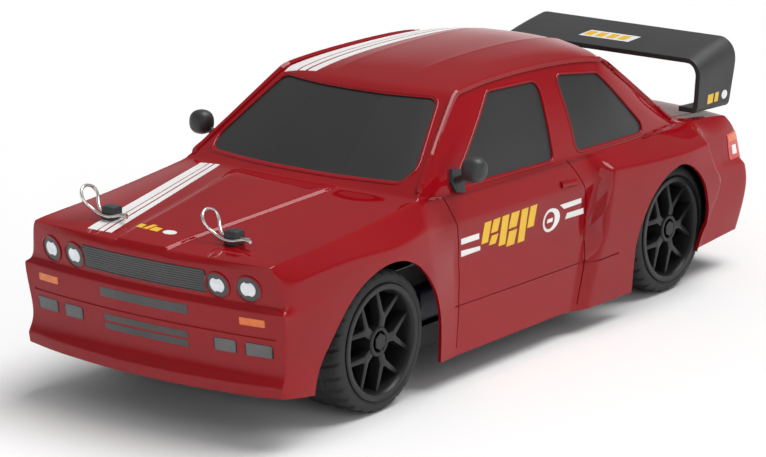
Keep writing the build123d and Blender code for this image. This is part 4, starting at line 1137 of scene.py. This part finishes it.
def wire_solid(line, r, sides=8):
    """Points and faces of a round wire along a line."""
    p = [np.array(q, float) for q in line]
    up = np.array((0.0, 0.3, 1.0))
    points, faces = [], []
    for i, q in enumerate(p):
        ahead = p[min(i + 1, len(p) - 1)] - p[max(i - 1, 0)]
        ahead /= np.linalg.norm(ahead)
        side = np.cross(ahead, up)
        side /= np.linalg.norm(side)
        up = np.cross(side, ahead)
        for k in range(sides):
            t = 2 * math.pi * k / sides
            points.append(q + r * (math.cos(t) * side + math.sin(t) * up))
    for i in range(len(p) - 1):
        for k in range(sides):
            a, b = i * sides + k, i * sides + (k + 1) % sides
            faces.append((a, b, b + sides, a + sides))
    faces += [tuple(range(sides))[::-1], tuple(range((len(p) - 1) * sides, len(p) * sides))]
    return points, faces


def merged(solids):
    points, faces = [], []
    for more, rings in solids:
        base = len(points)
        points += list(more)
        faces += [tuple(v + base for v in ring) for ring in rings]
    return points, faces


# %% [markdown]
# Each mirror is a ball that is a little square, a short stalk and a five-sided foot that lies on
# the door in front of the window. An ellipsoid with a higher power gives the squarer ball.

# %% Mirrors
def egg(centre, radii, rings=24, steps=32, power=2.4):
    """A rounded head, a little squarer than an ellipsoid."""
    def lobe(v):
        return math.copysign(abs(v) ** (2 / power), v)
    points, faces = [], []
    for i in range(rings + 1):
        a = math.pi * i / rings - math.pi / 2
        for k in range(steps):
            t = 2 * math.pi * k / steps
            points.append((centre[0] + radii[0] * lobe(math.cos(a)) * lobe(math.cos(t)),
                           centre[1] + radii[1] * lobe(math.cos(a)) * lobe(math.sin(t)),
                           centre[2] + radii[2] * lobe(math.sin(a))))
    for i in range(rings):
        for k in range(steps):
            j = (k + 1) % steps
            faces.append((i * steps + k, i * steps + j, (i + 1) * steps + j, (i + 1) * steps + k))
    return points, faces


mirror_solids = []
for s in (1, -1):
    mirror_solids.append(egg((58.4 * s, -45.2, 73.9), (4.3, 4.0, 4.3)))
    stalk = smooth_line([(49.4 * s, -43.4, 68.6), (52.4 * s, -43.9, 69.8), (55.8 * s, -44.8, 71.9)], 4)
    mirror_solids.append(wire_solid(stalk, 1.3, 12))
    base = [on_skin(y, z, "left" if s > 0 else "right")[0]
            for y, z in ((-46.4, 68.4), (-45.2, 65.0), (-40.2, 64.2), (-39.2, 71.5), (-43.9, 72.3))]
    plate = [p + np.array((s * h, 0, 0)) for h in (1.3, -0.4) for p in base]
    m = len(base)
    ring = [tuple(range(m)), tuple(range(2 * m - 1, m - 1, -1))]
    ring += [(i, i + m, (i + 1) % m + m, (i + 1) % m) for i in range(m)]
    mirror_solids.append((plate, ring))
points, faces = merged(mirror_solids)
mirrors = new_piece("mirror_heads", points, faces, TRIM, smooth=None)
work = bmesh.new()
work.from_mesh(mirrors.data)
bmesh.ops.remove_doubles(work, verts=work.verts, dist=1e-7)
bmesh.ops.recalc_face_normals(work, faces=work.faces)
work.to_mesh(mirrors.data)
work.free()
shade(mirrors, 40)
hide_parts("door_mirrors")
print("mirrors made")

# %% [markdown]
# The posts are square pegs with softened tops. A clip is one bent wire, so it is a round section
# carried along a smooth line of points.

# %% Post caps and wire clips
POSTS = [(25.6, -132.0, 62.0, 66.5), (-25.6, -132.0, 62.0, 66.5),
         (22.0, 115.5, 60.0, 65.0), (-22.0, 115.5, 60.0, 65.0)]
caps, clips = [], []
for x, y, low, high in POSTS:
    square = rounded([(x - 2.6, y - 2.5), (x + 2.6, y - 2.5), (x + 2.6, y + 2.5), (x - 2.6, y + 2.5)], 0.6, 3)
    levels = [(low, 1.0), (high - 0.5, 1.0), (high - 0.15, 0.94), (high, 0.84)]
    m = len(square)
    points = [(x + (a - x) * f, y + (b - y) * f, z) for z, f in levels for a, b in square]
    faces = [(i * m + k, i * m + (k + 1) % m, (i + 1) * m + (k + 1) % m, (i + 1) * m + k)
             for i in range(3) for k in range(m)]
    faces += [tuple(range(m))[::-1], tuple(range(3 * m, 4 * m))]
    caps.append((points, faces))
    z = high - 2.5
    straight = [(6.2, 0.3, 0.1), (3.0, 0.0, 0.0), (-3.0, 0.0, 0.0), (-5.4, 0.4, 0.5)]
    loop = [(-7.6, 2.1, 2.3), (-9.0, 3.4, 4.4), (-10.4, 2.9, 6.6), (-11.2, 0.2, 7.6),
            (-10.6, -2.7, 6.8), (-9.3, -3.9, 4.6), (-7.9, -3.3, 2.4), (-6.0, -2.6, 0.9)]
    wavy = [(-3.8, -2.9, 0.1), (-1.4, -3.35, -0.3), (1.6, -3.3, -0.35), (3.6, -2.4, 0.0),
            (5.2, -1.5, 0.15), (8.6, -2.6, 0.3)]
    line = smooth_line([(x + a, y + b, z + c) for a, b, c in straight + loop + wavy], 5)
    clips.append(wire_solid(line, 0.55, 8))
points, faces = merged(caps)
post_caps = new_piece("post_caps", points, faces, NYLON, smooth=35)
points, faces = merged(clips)
wire_clips = new_piece("wire_clips", points, faces, STEEL, smooth=50)
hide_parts("body_clips")
print("clips made")

# %% [markdown]
# ## Wheels
# A drift wheel is a moulded ring with five forked spokes, set back a little from its lip. The
# spokes are flat bars with softened edges; the hub is a raised ring round the wheel nut. The
# tyre is hard rubber with slanted blocks, cut shallow, and rounded shoulders.

# %% Rims
BARREL = [(53.3, 17.35), (53.7, 17.75), (53.8, 18.5), (53.8, 19.3), (53.5, 19.7), (52.9, 19.7),
          (52.6, 19.2), (52.4, 17.4), (34.0, 17.4), (33.6, 19.3), (33.2, 19.7), (32.5, 19.7),
          (32.2, 19.2), (32.3, 16.6), (36.0, 16.0), (46.0, 16.2), (50.6, 16.5), (52.2, 17.0)]
HUB = [(41.0, 2.1), (41.0, 4.8), (51.6, 5.2), (52.2, 5.0), (52.5, 4.6), (52.5, 3.8), (52.2, 3.5),
       (50.4, 3.5), (50.4, 2.1)]
SPOKE_BACK, SPOKE_FRONT = 47.8, 52.0


def spoke_outline():
    """One forked spoke, seen along the axle, with small fillets in its fork."""
    def polar(r, degrees):
        return (r * math.cos(math.radians(degrees)), r * math.sin(math.radians(degrees)))
    arms = [(3.6, -1.9), (5.6, -1.6), (8.0, -1.75), polar(17.4, -23.6), polar(17.4, -18.4),
            (10.0, -0.5), (9.7, 0.0)]
    return arms + [(a, -b) for a, b in arms[-2::-1]]


def make_wheel_rim(name, centre_y, side, body, node):
    parts = []
    outline = spoke_outline()
    for i in range(5):
        turn = math.radians(72 * i)
        c, s = math.cos(turn), math.sin(turn)
        flat = [(a * c - b * s + centre_y, a * s + b * c + 24.0) for a, b in outline]
        parts.append(prism("spoke", flat, 0, SPOKE_BACK, SPOKE_FRONT))
    spokes = joined(name, parts)
    soft = spokes.modifiers.new("soft", "BEVEL")
    soft.width, soft.segments = 0.42 * MM, 2
    soft.limit_method, soft.angle_limit = "ANGLE", math.radians(50)
    baked(spokes)
    ring = lathe("barrel", BARREL, 120, RIM, body=None, centre=(0, centre_y, 24.0))
    hub = lathe("hub", HUB, 60, RIM, body=None, centre=(0, centre_y, 24.0))
    rim = joined(name, [spokes, ring, hub])
    rim.data.materials.append(RIM)
    if side < 0:
        for v in rim.data.vertices:
            v.co.x = -v.co.x
        rim.data.flip_normals()
    shade(rim, 32)
    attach(rim, body)
    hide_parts(node)
    return rim


# %% [markdown]
# The tyre could be cut with many small tools. It is quicker and cleaner to turn one section in
# many steps and to press the grooves in by moving the points of the tread a little inwards.

# %% Tyres: a turned section with the tread pressed into it
SECTION = [(33.3, 17.5), (33.2, 19.6), (32.3, 19.9), (31.8, 20.4), (31.6, 21.2), (31.7, 22.3),
           (32.2, 23.2), (32.9, 23.7), (33.8, 23.93), (34.8, 24.0)]
SECTION += [(x, 24.0) for x in np.linspace(35.8, 50.0, 16)]
SECTION += [(51.0, 23.93), (51.9, 23.7), (52.7, 23.15), (53.2, 22.3), (53.4, 21.4),
            (53.4, 20.8), (53.15, 20.5), (53.2, 20.2), (53.1, 19.95), (52.8, 19.75), (52.7, 17.5)]
BLOCKS, AROUND, TREAD_DEPTH = 30, 420, 0.65


def make_tyre(name, centre_y, side, body, node):
    section = np.array(SECTION)
    m = len(section)
    points, faces = [], []
    for i in range(AROUND):
        t = 2 * math.pi * i / AROUND
        for x, r in section:
            reach = min(1.0, max(0.0, (r - 22.7) / 0.8))
            slant = abs(x - 42.5) * 0.062
            share = (t * BLOCKS / (2 * math.pi) + slant) % 1.0
            wall = min(1.0, max(0.0, min(share, 1 - share) / 0.08 - 1.0))
            middle = min(1.0, max(0.0, abs(abs(x - 42.5) - 2.6) / 0.45 - 0.6))
            depth = TREAD_DEPTH * reach * (1 - wall * middle)
            rr = r - depth
            points.append((side * x, centre_y + rr * math.cos(t), 24.0 + rr * math.sin(t)))
    for i in range(AROUND):
        j = (i + 1) % AROUND
        for k in range(m):
            ring = (i * m + k, j * m + k, j * m + (k + 1) % m, i * m + (k + 1) % m)
            faces.append(ring if side > 0 else ring[::-1])
    tyre = new_piece(name, points, faces, RUBBER, body=body, smooth=None)
    outward(tyre)
    shade(tyre, 30)
    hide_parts(node)
    return tyre


for end, centre_y in (("front", front_axle[1] / MM), ("rear", rear_axle[1] / MM)):
    for word, side in (("left", 1), ("right", -1)):
        body = f"{end}_wheel_{word}"
        make_wheel_rim(f"wheel_rim_{end}_{word}", centre_y, side, body, f"rim_{end}_{word}")
        make_tyre(f"wheel_tyre_{end}_{word}", centre_y, side, body, f"tyre_{end}_{word}")
print("wheels made")

# %% [markdown]
# ## The set
# A pale plain floor under soft lights: one large light overhead and a wide one from the front
# left. A surround that is bright at the horizon and dimmer above draws the long soft highlights.

# %% Floor, lights and surroundings
bpy.ops.mesh.primitive_plane_add(size=14, location=(0, 0, -0.00002))
floor = bpy.context.object
floor.name = "studio_floor"
FLOOR = finish("pale_floor", (0.93, 0.93, 0.93), 0.9, spread=0.01, patch=1.0, specular=0.1)
floor.data.materials.append(FLOOR)

world = bpy.data.worlds.new("studio")
bpy.context.scene.world = world
world.use_nodes = True
sky = world.node_tree
look = sky.nodes.new("ShaderNodeTexCoord")
split = sky.nodes.new("ShaderNodeSeparateXYZ")
fade = sky.nodes.new("ShaderNodeValToRGB")
sky.links.new(look.outputs["Generated"], split.inputs["Vector"])
sky.links.new(split.outputs["Z"], fade.inputs["Fac"])
sky.links.new(fade.outputs["Color"], sky.nodes["Background"].inputs["Color"])
fade.color_ramp.elements[0].position, fade.color_ramp.elements[0].color = 0.04, (0.95, 0.95, 0.95, 1)
fade.color_ramp.elements[1].position, fade.color_ramp.elements[1].color = 0.9, (0.42, 0.42, 0.42, 1)
dim = fade.color_ramp.elements.new(0.36)
dim.color = (0.24, 0.24, 0.24, 1)
bpy.context.scene.view_settings.view_transform = "Standard"


def aimed(lamp, place, target=(0, 0, 0.04)):
    """Put a lamp somewhere and turn it to its target."""
    bpy.context.collection.objects.link(lamp)
    lamp.location = place
    lamp.rotation_mode = "QUATERNION"
    lamp.rotation_quaternion = (Vector(target) - Vector(place)).to_track_quat("-Z", "Y")
    return lamp


sun = bpy.data.lights.new("overhead", "SUN")
sun.energy, sun.angle = 2.35, math.radians(42)
aimed(bpy.data.objects.new("overhead", sun), (0.24, 0.42, 1.2))


def soft_box(name, place, size, size_y, power):
    data = bpy.data.lights.new(name, "AREA")
    data.shape, data.size, data.size_y, data.energy = "RECTANGLE", size, size_y, power
    return aimed(bpy.data.objects.new(name, data), place)


soft_box("front_left", (1.1, -0.5, 0.55), 0.9, 0.7, 2.2)

# %% [markdown]
# The camera stands a little above the car, looking at its nose and left side through a long
# lens, which keeps the wheels from looking bigger than they are.

# %% Camera
AZIMUTH, ELEVATION, ROLL = math.radians(36.163), math.radians(14.916), math.radians(0.197)
TARGET = np.array((0.0, -0.016755, 0.038271))
DISTANCE = 1.1848
back = np.array((math.sin(AZIMUTH) * math.cos(ELEVATION), -math.cos(AZIMUTH) * math.cos(ELEVATION),
                 math.sin(ELEVATION)))
right = np.array((math.cos(AZIMUTH), math.sin(AZIMUTH), 0.0))
up = np.cross(back, right)
rolled = right * math.cos(ROLL) + up * math.sin(ROLL)
up = np.cross(back, rolled)
camera_data = bpy.data.cameras.new("camera")
camera_data.lens, camera_data.sensor_width = 158.48, 36.0
camera_data.clip_start, camera_data.clip_end = 0.05, 50
camera = bpy.data.objects.new("camera", camera_data)
bpy.context.collection.objects.link(camera)
turn = Matrix((rolled, up, back)).transposed()
camera.matrix_world = Matrix.Translation(TARGET + back * DISTANCE) @ turn.to_4x4()
bpy.context.scene.camera = camera
print("camera at", [round(v, 3) for v in camera.matrix_world.translation])
